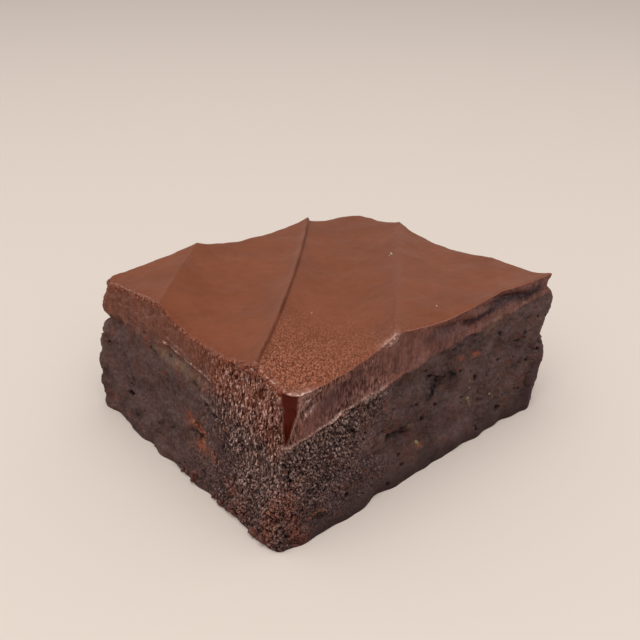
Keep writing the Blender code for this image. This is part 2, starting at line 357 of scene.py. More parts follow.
# Solid noises: shift of the lattice, then its step along each axis or along all three
NOISES = {
    "crisp": (15, 8.0),
    "seam": (70, (2.2, 2.2, 6.0)),
    "seam fine": (75, 0.9),
    "warp": (110, 1.4),
    "lean": (200, (3.0, 3.0, 5.0)),
    "wrinkle": (60, (0.5, 0.5, 1.7)),
    "wrinkle fine": (65, (0.3, 0.3, 0.8)),
    "crumb fine": (33, 0.9),
    "soft": (21, (1.5, 1.5, 1.2)),
    "soft fine": (22, 0.7),
    "torn": (90, (2.4, 2.4, 1.7)),
    "torn fine": (95, 0.8),
    "folds": (300, (7.0, 7.0, 4.0)),
    "folds fine": (310, 1.2),
    "creased": (320, 6.0),
    "lumps": (0, 3.4),
    "lumps fine": (50, 1.7),
    "drag": (0, (1.0, 1.0, 7.0)),
    "drag fine": (30, (0.5, 0.5, 3.0)),
    "swell": (55, (3.0, 3.0, 2.0)),
    "burr": (0, (1.6, 1.6, 1.0)),
    "rim": (80, 1.3),
    "gleam": (85, 0.7),
    "hollow": (170, 0.9),
    "sideways": (140, 1.1),
    "upwards": (150, 1.0),
    "top": (20, 2.6),
    "top fine": (0, 0.8),
    "clumps": (500, 3.0),
}
NOISE_GAIN = 1.7
SOLID = 64
_random = np.random.default_rng(29)
SOLID_SLOPES = _random.normal(size=(SOLID, SOLID, SOLID, 3))
SOLID_SLOPES /= np.linalg.norm(SOLID_SLOPES, axis=-1, keepdims=True)
SOLID_SEEDS = _random.random((SOLID, SOLID, SOLID, 3))


def ease(value):
    """Goes smoothly from 0 to 1 as the value does: 3 v^2 - 2 v^3, held at both ends."""
    held = np.clip(value, 0.0, 1.0)
    return held * held * (3 - 2 * held)


def bump_at(value, middle, width):
    """A soft hill of height 1: exp(-((value - middle) / width)^2)."""
    return np.exp(-(((value - middle) / width) ** 2))


def ripple(along, across, grain):
    """Even flat noise from -1 to 1: slopes on a square lattice, eased from point to point."""
    cell_a = np.floor(along / grain)
    cell_b = np.floor(across / grain)
    total = np.zeros_like(along)
    for step_a, step_b in itertools.product((0, 1), repeat=2):
        off_a = along / grain - cell_a - step_a
        off_b = across / grain - cell_b - step_b
        row = (cell_a + step_a).astype(int) % len(SLOPES)
        column = (cell_b + step_b).astype(int) % len(SLOPES)
        slope = SLOPES[row, column]
        nearness = ease(1 - np.abs(off_a)) * ease(1 - np.abs(off_b))
        total += nearness * (np.cos(slope) * off_a + np.sin(slope) * off_b)
    return RIPPLE_GAIN * total


def grain(points, name):
    """One of the even solid noises, from -1 to 1: slopes on a cubic lattice, eased between them."""
    shift, size = NOISES[name]
    scaled = (points + shift) / size
    cell = np.floor(scaled).astype(int)
    total = np.zeros(len(points))
    for corner in itertools.product((0, 1), repeat=3):
        off = scaled - cell - corner
        place = (cell + corner) % SOLID
        slope = SOLID_SLOPES[place[:, 0], place[:, 1], place[:, 2]]
        total += np.prod(ease(1 - np.abs(off)), axis=-1) * np.sum(slope * off, axis=-1)
    return NOISE_GAIN * total


def nubs(points, size):
    """Packed round grains: 1 on each grain's middle, 0 in the gaps between grains.

    Each lattice cell holds one seed at a random place. With d1 and d2 the distances to the
    two nearest seeds, the height is (1 - d1^2) * ease((d2 - d1) / 0.35).
    """
    scaled = points / size
    cell = np.floor(scaled).astype(int)
    first = np.full(len(points), 9.0)
    second = np.full(len(points), 9.0)
    for corner in itertools.product((-1, 0, 1), repeat=3):
        place = (cell + corner) % SOLID
        seed = cell + corner + SOLID_SEEDS[place[:, 0], place[:, 1], place[:, 2]]
        away = np.linalg.norm(scaled - seed, axis=-1)
        second = np.minimum(second, np.maximum(first, away))
        first = np.minimum(first, away)
    return np.clip(1 - first**2, 0.0, 1.0) * ease((second - first) / 0.35)


def marked(marks, along, height):
    """Sum of soft grooves and swellings: push * exp(-(distance to a line / radius)^2)."""
    total = np.zeros_like(along)
    for start, low, end, high, radius, push in marks:
        run = np.array([end - start, high - low])
        to_point = np.stack([along - start, height - low], axis=-1)
        share = np.clip(to_point @ run / (run @ run), 0.0, 1.0)
        miss = np.linalg.norm(to_point - share[..., None] * run, axis=-1)
        total += push * np.exp(-((miss / radius) ** 2))
    return total


def fold_bow(x, y):
    """How far the folded crest swings across the strokes: bow * (1 - (s / near)^2), near it."""
    along = x * STROKE_X + y * STROKE_Y
    across = x * STROKE_Y - y * STROKE_X
    swing = FOLD_BOW * np.clip(1 - (along / STROKE_NEAR) ** 2, 0.0, 1.0)
    return swing * bump_at(across, FOLD, FOLD_REACH)


def top_height(x, y):
    """The swept top: straight crests with hollows hung between them.

    Height = the line from crest to crest - sag * (4 t (1 - t))^0.85 - fold step + front lip.
    """
    far = (x * STROKE_X + y * STROKE_Y - STROKE_NEAR) / (STROKE_FAR - STROKE_NEAR)
    bent = x * STROKE_Y - y * STROKE_X - fold_bow(x, y)
    bent = np.clip(bent, CRESTS[0][0], CRESTS[-1][0] - 0.001)
    height = np.zeros_like(x)
    for crest, following in zip(CRESTS, CRESTS[1:]):
        place, near_height, far_height, near_sag, far_sag = crest
        share = np.clip((bent - place) / (following[0] - place), 0.0, 1.0)
        inside = (bent >= place) & (bent < following[0])
        here = near_height + (far_height - near_height) * far
        there = following[1] + (following[2] - following[1]) * far
        sag = near_sag + (far_sag - near_sag) * np.clip(far, 0.0, 1.0)
        hollow = (4 * share * (1 - share)) ** HOLLOW_POWER
        height = np.where(inside, here + (there - here) * share - sag * hollow, height)
    past = bent - FOLD
    deep = FOLD_STEP[0] + (FOLD_STEP[1] - FOLD_STEP[0]) * np.clip(far, 0.0, 1.0)
    drop = deep * np.exp(-np.abs(past) / FOLD_FADE)
    rim = FOLD_RIM * np.exp(-np.abs(past) / FOLD_RIM_FADE)
    step = (drop + rim) * ease(past / FOLD_WIDTH) - rim
    lip = LIP_HEIGHT * np.exp(-(y + HALF_Y) / LIP_FADE) * ease((x - LIP_START) / LIP_RUN)
    return height - step + lip + TOP_GRAIN_DEPTH * ripple(x, y, TOP_GRAIN)


def seam_height(x, y):
    """Where the crumb ends: a rising curve on the front face, waves round the other faces."""
    along = np.clip((x + HALF_X) / (2 * HALF_X), 0.0, 1.0)
    front = SEAM_NEAR + SEAM_RISE * (1 - (1 - along) ** 2)
    (wave_x, run_x), (wave_y, run_y) = SEAM_WAVES
    back = SEAM_BACK + wave_x * np.sin(x / run_x) + wave_y * np.sin(y / run_y)
    return front + (back - front) * ease((y + HALF_Y) / SEAM_BLEND)


def corner_radius(x, y, height):
    """The plan's corner radius, eased from its foot value to its top value."""
    rise = ease((height - CORNER_START) / CORNER_RUN)
    radius = np.zeros_like(x)
    for (side_x, side_y), (foot, top) in CORNERS.items():
        here = (np.sign(x + 1e-9) == side_x) & (np.sign(y + 1e-9) == side_y)
        radius = np.where(here, foot + (top - foot) * rise, radius)
    return radius


def rounded(x, y, radius):
    """Pulls the square corners of the plan in to arcs of the given radius."""
    past_x = np.maximum(np.abs(x) - (HALF_X - radius), 0.0)
    past_y = np.maximum(np.abs(y) - (HALF_Y - radius), 0.0)
    length = np.maximum(np.hypot(past_x, past_y), 1e-9)
    keep = np.where(length > 1e-8, np.maximum(past_x, past_y) / length, 1.0)
    new_x = np.sign(x) * (np.abs(x) - past_x + past_x * keep)
    new_y = np.sign(y) * (np.abs(y) - past_y + past_y * keep)
    return new_x, new_y


def face_push(face, along, height, grains):
    """How far a cut face stands out of its upright plane: marks - lean + two sizes of ripple."""
    push = marked(MARKS[face] + FINE_MARKS.get(face, ()), along, height)
    push -= LEANS[face] * ease(height / FULL_HEIGHT)
    for across, upwards, depth in grains:
        push += depth * ripple(along, height * across / upwards + GRAIN_SHIFTS[face], across)
    return push


def cut_faces(u, v, height, grains):
    """Places plan points at a height: rounded corners first, then the push of each face."""
    x, y = rounded(u * HALF_X, v * HALF_Y, corner_radius(u, v, height))
    near_x = ease((np.abs(u) - FACE_START) / (1 - FACE_START))
    near_y = ease((np.abs(v) - FACE_START) / (1 - FACE_START))
    left = face_push("left", y, height, grains)
    right = face_push("right", y, height, grains)
    front = face_push("front", x, height, grains)
    back = face_push("back", x, height, grains)
    push_x = np.where(u < 0, -left, right) * near_x
    push_y = np.where(v < 0, -front, back) * near_y
    return x + push_x, y + push_y


def column_places(size):
    """Where the columns of each cut face lie, counted in cells of the top.

    Every corner of a cell has a column. On the two faces that show, the cells nearest the
    near corner are cut in three.
    """
    places = {"right": np.arange(size.cells_y + 1.0), "back": np.arange(size.cells_x + 1.0)}
    for face, cells in (("front", size.cells_x), ("left", size.cells_y)):
        close = np.arange(3 * size.close_cells) / 3
        places[face] = np.concatenate([close, np.arange(size.close_cells, cells + 1.0)])
    return {face: places[face] for face in ("front", "right", "back", "left")}


def ring_plan(size):
    """Plan points once round the outline from the near corner: front, right, back, left."""
    cells = {"front": size.cells_x, "right": size.cells_y, "back": size.cells_x, "left": size.cells_y}
    across = {face: 2 * places / cells[face] - 1 for face, places in column_places(size).items()}
    front, right = across["front"][:-1], across["right"][:-1]
    back, left = across["back"][:0:-1], across["left"][:0:-1]
    u = [front, np.ones(len(right)), back, -np.ones(len(left))]
    v = [-np.ones(len(front)), right, np.ones(len(back)), left]
    return np.concatenate(u), np.concatenate(v)


def face_columns(size):
    """For each cut face, the ring columns that it takes, from corner to corner."""
    counts = {face: len(places) - 1 for face, places in column_places(size).items()}
    total = sum(counts.values())
    spans = {}
    start = 0
    for face, count in counts.items():
        spans[face] = np.arange(start, start + count + 1) % total
        start += count
    return spans


def ring_normals(grid):
    """Outward normals of a closed ring of rows: (step down) x (step along), made unit length."""
    down = np.gradient(grid, axis=0)
    along = np.roll(grid, -1, axis=1) - np.roll(grid, 1, axis=1)
    normal = np.cross(down, along)
    return normal / np.linalg.norm(normal, axis=-1, keepdims=True)


def grid_quads(rows, columns):
    """Quads of a grid of rows by columns of cells, facing outwards where rows run down."""
    first = (np.arange(rows)[:, None] * (columns + 1) + np.arange(columns)).ravel()
    return np.stack([first, first + columns + 1, first + columns + 2, first + 1], axis=-1)


def fan(line, apex):
    """Triangles from each step of a line of vertices to one apex."""
    return np.stack([line[:-1], line[1:], np.full(len(line) - 1, apex)], axis=-1)


def strip(upper, lower):
    """Triangles between two lines of vertices, facing outwards where upper is above."""
    one = np.stack([upper[:-1], lower[:-1], lower[1:]], axis=-1)
    other = np.stack([upper[:-1], lower[1:], upper[1:]], axis=-1)
    return np.concatenate([one, other])


def wedge(grid, high, low, sink):
    """Closes a strip of a cut face into a solid wedge that reaches the block's middle line.

    The strip's top edge turns in and down by sink, then runs to the point high. Its foot
    runs to the point low, and its two ends to the line between them.
    """
    rows, columns = grid.shape[0] - 1, grid.shape[1] - 1
    hidden = grid[0] * (TURN_IN, TURN_IN, 1.0) - (0.0, 0.0, sink)
    points = np.concatenate([grid.reshape(-1, 3), hidden, [high, low]])
    index = np.arange((rows + 2) * (columns + 1)).reshape(rows + 2, columns + 1)
    index = np.roll(index, 1, axis=0)
    top, foot = len(points) - 2, len(points) - 1
    first, last = index[:, 0], index[:, -1]
    inner = [
        strip(index[0], index[1]),
        fan(index[0], top),
        fan(index[-1, ::-1], foot),
        fan(first[::-1], top),
        fan(last, top),
        np.array([[first[-1], top, foot], [top, last[-1], foot]]),
    ]
    return points, grid_quads(rows, columns), np.concatenate(inner)


def make_piece(name, points, visible, inner, material, masks):
    """Writes points in millimetres and two blocks of faces, smooth and flat, into a mesh."""
    mesh = bpy.data.meshes.new(name)
    mesh.vertices.add(len(points))
    mesh.vertices.foreach_set("co", ((points - MIDDLE) * MM).ravel())
    corners = np.concatenate([block.ravel() for block in (visible, inner)])
    sizes = np.concatenate([np.full(len(block), block.shape[1]) for block in (visible, inner)])
    mesh.loops.add(len(corners))
    mesh.loops.foreach_set("vertex_index", corners.astype(np.int32))
    mesh.polygons.add(len(sizes))
    starts = np.concatenate([[0], np.cumsum(sizes)[:-1]])
    mesh.polygons.foreach_set("loop_start", starts.astype(np.int32))
    mesh.polygons.foreach_set("use_smooth", np.arange(len(sizes)) < len(visible))
    for title, values in masks.items():
        layer = mesh.attributes.new(title, "FLOAT", "POINT")
        padded = np.zeros(len(points), np.float32)
        padded[: values.size] = values.ravel()
        layer.data.foreach_set("value", padded)
    mesh.materials.append(material)
    mesh.update(calc_edges=True)
    mesh.validate()
    piece = bpy.data.objects.new(name, mesh)
    bpy.context.scene.collection.objects.link(piece)
    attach(piece, "root")
    return piece


def surface_of(name):
    """Points in millimetres, normals and masks of a piece that was already made."""
    mesh = bpy.data.objects[name].data
    points = np.empty(len(mesh.vertices) * 3, np.float32)
    normals = np.empty(len(mesh.vertices) * 3, np.float32)
    mesh.vertices.foreach_get("co", points)
    mesh.vertex_normals.foreach_get("vector", normals)
    masks = {}
    for layer in mesh.attributes:
        if layer.data_type == "FLOAT":
            values = np.empty(len(mesh.vertices), np.float32)
            layer.data.foreach_get("value", values)
            masks[layer.name] = values
    return points.reshape(-1, 3) / MM + MIDDLE, normals.reshape(-1, 3), masks


def corner_distance(size):
    """Distance along the ring from the near corner, positive on the front face."""
    u, v = ring_plan(size)
    front = (v == -1) & (u < 1)
    left = (u == -1) & (v > -1)
    along = np.where(front, (u + 1) * HALF_X, 2 * HALF_X)
    return np.where(left, -(v + 1) * HALF_Y, along)


def cut_zones(points, above, corner):
    """The kinds of surface on the cut faces, each a share from 0 to 1, in one namespace.

    front and left are the faces that show. crisp is sharp grain, which fades away from the
    near corner. chocolate is above the seam, which noise makes ragged except in front. gloss
    is the facet pressed into the near corner, and across the distance from its middle in
    widths. pressed is the front's foot, calm the share of relief that is kept, and pulled
    the part of the left face where the knife drew the grain upwards.
    """
    x, y, z = points.T
    to_left, to_front = x + HALF_X, y + HALF_Y
    front = ease((np.minimum(to_left, 2 * HALF_X - to_left) - to_front) / FACE_BLEND + 0.5)
    left = ease((np.minimum(to_front, 2 * HALF_Y - to_front) - to_left) / FACE_BLEND + 0.5)
    distance = np.hypot(to_left, to_front)
    crisp = ease((CRISP_REACH + CRISP_WAVE * grain(points, "crisp") - distance) / CRISP_FADE)
    ragged = (1 - front) * (4.0 * grain(points, "seam") + 2.0 * grain(points, "seam fine"))
    chocolate = ease((above + ragged) / (CLEAN_SEAM + RAGGED_SEAM * (1 - front)) + 0.5)
    rise = z - SEAM_NEAR
    width = FACET_WIDTH * np.clip(rise / FACET_RISE, 0.0, 1.0) ** 0.8 + 0.05
    across = np.abs(corner) / width
    gloss = ease((1.0 - across) * width / 0.5) * ease(rise / 1.5)
    gloss = np.maximum(gloss, front * marked(POLISH, x, z))
    pressed = front * bump_at(z, 0.0, FOOT_HEIGHT) * ease((x - FOOT_START) / FOOT_RUN)
    places = moved_places(points)
    smooth = np.clip(on_faces(SMOOTH, places, front, left), 0.0, 1.0)
    return SimpleNamespace(
        front=front,
        left=left,
        crisp=crisp,
        chocolate=chocolate,
        rise=rise,
        across=across,
        gloss=gloss,
        pressed=pressed,
        calm=(1 - 0.85 * pressed) * (1 - smooth),
        pulled=left * ease((above - PULLED_START) / PULLED_RUN),
        places=places,
    )


def grain_field(points, zone, size):
    """The signed grain of the cut faces, from gaps below 0 to tops above it.

    Nubs less their usual height + noise: packed in crumb, drawn upwards where the knife
    pulled. Away from the near corner it goes over to soft noise.
    """
    warp = 0.4 * np.stack([grain(points + 9 * axis, "warp") for axis in range(3)], axis=-1)
    lean = 0.9 * grain(points, "lean")[:, None] * (1, 1, 0)
    packed = nubs((points + warp) * (1.0, 1.0, 0.8), size)
    drawn = nubs((points + warp + lean) * (1.0, 1.0, 0.32), 0.75 * size)
    fine = nubs(points + 1.3 * warp + 40, 0.6 * size)
    wrinkle = grain(points + lean, "wrinkle") + 0.6 * grain(points, "wrinkle fine")
    drawn_grain = 0.9 * (drawn - 0.35) + 0.7 * wrinkle
    crumb_grain = 0.9 * (packed - 0.38) + 0.4 * (fine - 0.36) + 0.5 * grain(points, "crumb fine")
    soft_grain = 0.55 * grain(points, "soft") + 0.4 * grain(points, "soft fine")
    side_grain = 0.5 * wrinkle + 0.2 * (drawn - 0.35)
    close = crumb_grain + (drawn_grain - crumb_grain) * zone.pulled
    close = close + (side_grain - close) * zone.chocolate * (1 - zone.left)
    return (soft_grain + (close - soft_grain) * zone.crisp) * zone.calm


def cut_relief(points, above, below_top, corner, form):
    """Depth to move each point of the cut faces along its normal, with the masks of its colours, painted
    shade, painted highlights and coat.

    Crumb: lumps + grain - torn pits and creases. Chocolate: drag lines + grain - creases,
    with a burr along its lower edge in front. Both: a rough rim, and the facet sunk between
    its ridges by depth * (1 - across^2).
    """
    zone = cut_zones(points, above, corner)
    grains = grain_field(points, zone, form.nub_size / MM)
    torn = ease((grain(points, "torn") + 0.3 * grain(points, "torn fine") - 0.60) / 0.2)
    folds = grain(points, "folds") + 0.12 * grain(points, "folds fine")
    crease = bump_at(folds, 0.05, 0.07) * ease((grain(points, "creased") - 0.1) / 0.4)
    lumpy = 0.30 * grain(points, "lumps") + 0.22 * grain(points, "lumps fine")
    crumb = lumpy * (0.75 + 0.25 * zone.crisp) * zone.calm
    crumb += form.nub_depth / MM * grains
    crumb -= form.pit_depth / MM * (torn + 0.4 * crease) * (1 - zone.pressed)
    drag = grain(points, "drag") + 0.7 * grain(points, "drag fine")
    spread = form.drag / MM * drag + form.nub_depth / MM * grains * (0.5 + 0.5 * zone.left)
    spread += 0.25 * grain(points, "swell") - 0.35 * crease * (1 - 0.6 * zone.crisp)
    spread *= 1 - 0.97 * zone.gloss
    rim = np.exp(-below_top / RIM_FADE)
    burr = zone.front * bump_at(above, BURR_PLACE, 0.45) * (1 + 0.6 * grain(points, "burr"))
    ridge = bump_at(zone.across, 1.08, 0.14) * ease(zone.rise / 3.0)
    relief = crumb + (spread - crumb) * zone.chocolate
    relief += 0.30 * rim * (1 - 0.6 * zone.front) * grain(points, "rim")
    relief += BURR_HEIGHT * burr * (0.4 + 0.6 * zone.crisp)
    relief += RIDGE_HEIGHT * ridge
    relief -= FACET_DEPTH * np.clip(1 - zone.across**2, 0.0, 1.0) * ease(zone.rise / 3.0)

    # This mask lays coat and blends in painted highlight colour: along the lit edge, the sheen marks, the
    # facet's ridges and the seam's burr
    wet, broken = lit_rim(points, rim * zone.left, rim * zone.front)
    wet = np.maximum(wet, on_faces(SHEEN, zone.places, zone.front, zone.left)) * (1 - zone.gloss)
    lit_ridge = ridge * np.where(corner > 0, 0.45, 0.7 * broken)
    wet = np.maximum(wet, np.maximum(lit_ridge, 0.7 * burr * zone.crisp))
    # How much painted highlight and coat the grain's tops get: less towards the foot and away from the
    # corner, more on the left face
    low = 0.35 + 0.65 * ease((points[:, 2] - LUSTRE_START) / LUSTRE_RUN)
    side = 0.5 + 0.5 * zone.left - 0.2 * zone.chocolate * (1 - zone.left)
    lustre = low * (0.04 + 0.96 * zone.crisp) * side * (1 - zone.gloss) * zone.calm
    painted = {
        title: on_faces(marks, zone.places, zone.front, zone.left)
        for title, marks in (("hollow", PAINTED_SHADE), ("torn", EMBERS), ("pale_grains", PALE), ("creased", PLUM))
    }
    # The hollow mask: painted shade of the marks above, of torn pits and of creases in the crumb
    painted["hollow"] *= 0.8 + 0.9 * grain(points, "hollow")
    painted["hollow"] += (0.9 * torn + 0.35 * crease) * (1 - zone.chocolate)
    painted["wet"] = wet
    blush = (0.3 + 0.5 * zone.crisp) * zone.left * np.exp(-below_top / RIM_BLUSH)
    masks = {title: np.clip(values, 0.0, 1.0) for title, values in painted.items()}
    masks |= {
        "chocolate": zone.chocolate,
        "grain": (1.3 - 0.6 * zone.pulled) * grains,
        "lustre": lustre,
        "drawn": np.maximum(zone.pulled, zone.chocolate),
        "calm": zone.calm * (1 - zone.gloss),
        "pressed": zone.pressed,
        "crisp": zone.crisp,
        "left": zone.left,
        "gloss": zone.gloss,
        "edge": np.maximum(rim, blush) * (1 - 0.45 * zone.front),
    }
    return relief, masks


def lit_rim(points, left, front):
    """The painted highlight and coat along the top's edge, and the noise that breaks it up.

    In front it gleams by the near corner and on one crest, on the left near the corner only.
    """
    x, y = points[:, 0], points[:, 1]
    broken = ease((grain(points, "gleam") - 0.05) / 0.25)
    lit_left = 0.1 + 1.4 * ease((LIT_LEFT_END - y) / LIT_LEFT_RUN)
    lit_front = sum(bump_at(x, place, width) for place, width in LIT_LIPS)
    return left * broken * lit_left + front * (0.05 + lit_front * (0.7 + broken)), broken


def moved_places(points):
    """Points shifted by noise, so that what is painted at them has a broken outline."""
    aside = 0.5 * grain(points, "sideways")
    return points + np.stack([aside, aside, 0.6 * grain(points, "upwards")], axis=-1)


def on_faces(marks, places, front, left):
    """left share * the left face's marks + front share * the front face's marks."""
    x, y, z = places.T
    return left * marked(marks["left"], y, z) + front * marked(marks["front"], x, z)


def moved(grid, above, below_top, form):
    """A ring of the cut faces after its relief, with its masks in the same grid shape."""
    corner = np.tile(corner_distance(form), len(grid))
    relief, masks = cut_relief(grid.reshape(-1, 3), above.ravel(), below_top.ravel(), corner, form)
    done = grid + ring_normals(grid) * relief.reshape(*grid.shape[:2], 1)
    return done, {title: values.reshape(grid.shape[:2]) for title, values in masks.items()}


def make_wedges(prefix, grid, masks, high, low, sink, material, size):
    """The four cut faces of a ring, each a wedge of its own."""
    pieces = {}
    for face, span in face_columns(size).items():
        points, visible, inner = wedge(grid[:, span], high, low, sink)
        kept = {title: values[:, span] for title, values in masks.items()}
        pieces[face] = make_piece(f"{prefix}_{face}", points, visible, inner, material, kept)
    return pieces


def crumb_ring(size):
    """Rows of points down the crumb: z = share * seam, placed on the cut faces."""
    u, v = ring_plan(size)
    seam = seam_height(u * HALF_X, v * HALF_Y)
    share = np.linspace(1.0, 0.0, size.crumb_rows + 1)[:, None]
    z = share * (seam + SEAM_OVERLAP)
    shape = z.shape
    u, v = (np.broadcast_to(part, shape).ravel() for part in (u, v))
    x, y = cut_faces(u, v, z.ravel(), CRUMB_GRAINS)
    return np.stack([x.reshape(shape), y.reshape(shape), z], axis=-1), z - seam


def top_grid(size):
    """The spread top over the whole plan, its edge rounded over.

    z = top_height(x, y) - round * exp(-distance to the edge / fade) + shallow grain that
    grows towards the near corner. The cells' diagonals run along the knife strokes, and the
    points near the fold are shifted to follow its bow.
    """
    side_u, side_v = np.linspace(-1, 1, size.cells_x + 1), np.linspace(-1, 1, size.cells_y + 1)
    u, v = (part.ravel() for part in np.meshgrid(side_u, side_v, indexing="ij"))
    x, y = cut_faces(u, v, top_height(u * HALF_X, v * HALF_Y), CHOCOLATE_GRAINS)
    follow = fold_bow(x, y) * (1 - u**8) * (1 - v**8)
    x, y = x + follow * STROKE_Y, y - follow * STROKE_X
    edge = np.minimum((1 - np.abs(u)) * HALF_X, (1 - np.abs(v)) * HALF_Y)
    z = top_height(x, y) - size.edge_round / MM * np.exp(-edge / EDGE_FADE)
    points = np.stack([x, y, z], axis=-1)
    near = np.exp(-np.hypot(x + HALF_X, y + HALF_Y) / NEAR_FADE)
    left = ease((FAR_LEFT - u * HALF_X) / FAR_LEFT_RUN)
    rim = np.exp(-edge / (0.6 + 0.6 * left))
    bent = x * STROKE_Y - y * STROKE_X - fold_bow(x, y)
    grainy = near * (0.3 + 0.7 * ease((bent - FOLD) / 3.0 + 0.5))
    wave = 0.5 * ripple(x, y, 5.0)
    # Painted highlight: this mask lightens the top's colour along the crests and on the rim before the
    # fold, and lifts it 0.12 mm at full strength
    crest = np.zeros_like(x)
    for place, strength, width in CREST_HIGHLIGHT_BANDS:
        crest += strength * bump_at(bent + wave, place, width)
    crest *= 0.7 + 0.5 * ripple(x + 40, y, 7.0)
    crest += 0.7 * bump_at(bent, FOLD - 0.6, 0.4)
    # Painted shade: the dark line behind the fold step, and along the scratches
    fold = bump_at(bent, FOLD + 0.25, 0.3) * (0.7 + 0.5 * ripple(x + 90, y, 6.0))
    for middle_x, middle_y, reach in SCRATCHES:
        fold += 0.8 * bump_at(x, middle_x, reach) * bump_at(y, middle_y, SCRATCH_WIDTH)
    by_left, by_front = (np.exp(-gap / LIT_WIDTH) for gap in ((1 + u) * HALF_X, (1 + v) * HALF_Y))
    # Coat and painted highlight along the top's edge
    shine, _ = lit_rim(points, by_left, by_front)
    z = z + 0.05 * grain(points, "top") + 0.06 * near * grain(points, "top fine")
    z = z + 0.28 * rim * (0.35 + 0.65 * left) * grain(points, "rim") + 0.12 * crest
    points[:, 2] = z
    masks = {"near": grainy, "rim": rim, "crest": crest, "fold": fold, "wet": shine}
    masks = {title: np.clip(values, 0.0, 1.0) for title, values in masks.items()}
    return points.reshape(size.cells_x + 1, size.cells_y + 1, 3), masks


def top_edge(grid, size):
    """The top's outline once round, at the ring's columns."""
    lines = {"front": grid[:, 0], "right": grid[-1, :], "back": grid[:, -1], "left": grid[0, :]}
    parts = []
    for face, places in column_places(size).items():
        line = lines[face]
        low = np.minimum(np.floor(places + 1e-9).astype(int), len(line) - 2)
        part = (places - low)[:, None]
        points = line[low] * (1 - part) + line[low + 1] * part
        parts.append(points[:-1] if face in ("front", "right") else points[:0:-1])
    return np.concatenate(parts)


def frosting_ring(size, edge):
    """Rows down the chocolate's cut sides from the top's edge to the seam.

    A row lies at z = edge + (seam - edge) * share, on the chocolate's cut faces, which ease
    into the crumb's near the seam.
    """
    u, v = ring_plan(size)
    seam = seam_height(u * HALF_X, v * HALF_Y)
    share = np.linspace(0.0, 1.0, size.frosting_rows + 1)[:, None]
    high = edge[:, 2]
    z = high + (seam - SEAM_OVERLAP - high) * share
    shape = z.shape
    u, v = (np.broadcast_to(part, shape).ravel() for part in (u, v))
    x, y = cut_faces(u, v, z.ravel(), CHOCOLATE_GRAINS)
    seam_x, seam_y = cut_faces(u, v, z.ravel(), CRUMB_GRAINS)
    blend = ease(1 - (z - seam).ravel() / SEAM_EASE)
    x, y = x + (seam_x - x) * blend, y + (seam_y - y) * blend
    return np.stack([x.reshape(shape), y.reshape(shape), z], axis=-1), z - seam, high - z


# Loose bits: their unevenness, and where on a piece they may sit
LUMP_ROUGHNESS = 0.25
LUMP_LIMITS = (0.5, 1.6)
LUMP_SQUEEZE = (0.6, 1.25)
OUTER_SHARE = 0.9
TOP_START = 33.0
CHIPS_START = 30.0
CRUMBS_HEIGHT = 0.8
CRUMBS_START = 0.2
CRUMBS_EDGE = -35.0


def lumps(places, sizes, seed, rings, sides):
    """Small uneven lumps, one round each place.

    Each is a ball r = size * (1 + noise) on a grid of angles, closed by a point at both
    poles, squeezed and turned at random.
    """
    draw = np.random.default_rng(seed)
    count = len(places)
    tilt = np.linspace(0, np.pi, rings + 2)[1:-1]
    turn = np.linspace(0, 2 * np.pi, sides, endpoint=False)
    ring = np.stack(
        [
            np.sin(tilt)[:, None] * np.cos(turn),
            np.sin(tilt)[:, None] * np.sin(turn),
            np.broadcast_to(np.cos(tilt)[:, None], (rings, sides)),
        ],
        axis=-1,
    ).reshape(-1, 3)
    ball = np.concatenate([ring, [[0, 0, 1.0], [0, 0, -1.0]]])
    radius = 1 + LUMP_ROUGHNESS * draw.normal(size=(count, len(ball), 1))
    squeeze = draw.uniform(*LUMP_SQUEEZE, (count, 1, 3))
    spin, _ = np.linalg.qr(draw.normal(size=(count, 3, 3)))
    spin[:, :, 0] *= np.linalg.det(spin)[:, None]
    shape = ball * np.clip(radius, *LUMP_LIMITS) * squeeze
    shape = np.einsum("nij,nkj->nki", spin, shape) * np.reshape(sizes, (-1, 1, 1))
    points = (shape + places[:, None, :]).reshape(-1, 3)
    index = np.arange(rings * sides).reshape(rings, sides)
    beside = np.roll(index, -1, axis=1)
    quads = np.stack([index[:-1], index[1:], beside[1:], beside[:-1]], axis=-1).reshape(-1, 4)
    top = np.stack([np.full(sides, rings * sides), index[0], beside[0]], axis=-1)
    low = np.stack([index[-1], np.full(sides, rings * sides + 1), beside[-1]], axis=-1)
    shift = np.arange(count)[:, None, None] * len(ball)
    caps = np.concatenate([top, low])
    quads, caps = ((block + shift).reshape(-1, block.shape[1]) for block in (quads, caps))
    return points, quads, caps


def scatter(points, normals, weight, count, seed, sink):
    """Seats for lumps: count surface points drawn by weight, moved along the normal by sink."""
    draw = np.random.default_rng(seed)
    chosen = draw.choice(len(points), size=count, replace=False, p=weight / weight.sum())
    return points[chosen] + normals[chosen] * sink


def seats_at(name, axes, places):
    """The outer surface points of a piece nearest to places given on two of its axes."""
    points, _, _ = surface_of(name)
    if 2 in axes:
        outer = np.hypot(points[:, 0] / HALF_X, points[:, 1] / HALF_Y) > OUTER_SHARE
    else:
        outer = points[:, 2] > TOP_START
    points = points[outer]
    gaps = np.linalg.norm(points[None, :, axes] - places[:, None, :], axis=-1)
    return points[gaps.argmin(axis=1)]


def title_of(name):
    """A plain name for people: rim_chips becomes Rim chips."""
    return name.replace("_", " ").capitalize()


def add_bits(name, seats, sizes, seed, look, rings, sides):
    """One piece of lumps at the given seats, in its own finish."""
    material = bit_material(title_of(name), *look)
    piece = make_piece(name, *lumps(seats, sizes, seed, rings=rings, sides=sides), material, {})


# Finishes of the small bits: dark, light, roughness
CHIPS = ((0.13, 0.026, 0.011), (0.34, 0.105, 0.055), 0.35)
FOOT_CRUMBS = ((0.060, 0.022, 0.017), (0.150, 0.045, 0.028), 0.6)
FLAKE = ((0.17, 0.055, 0.022), (0.30, 0.11, 0.05), 0.5)
PALE_GRAIN = ((0.42, 0.33, 0.25), (0.60, 0.50, 0.40), 0.6)
OLIVE_GRAIN = ((0.16, 0.12, 0.06), (0.27, 0.21, 0.11), 0.6)

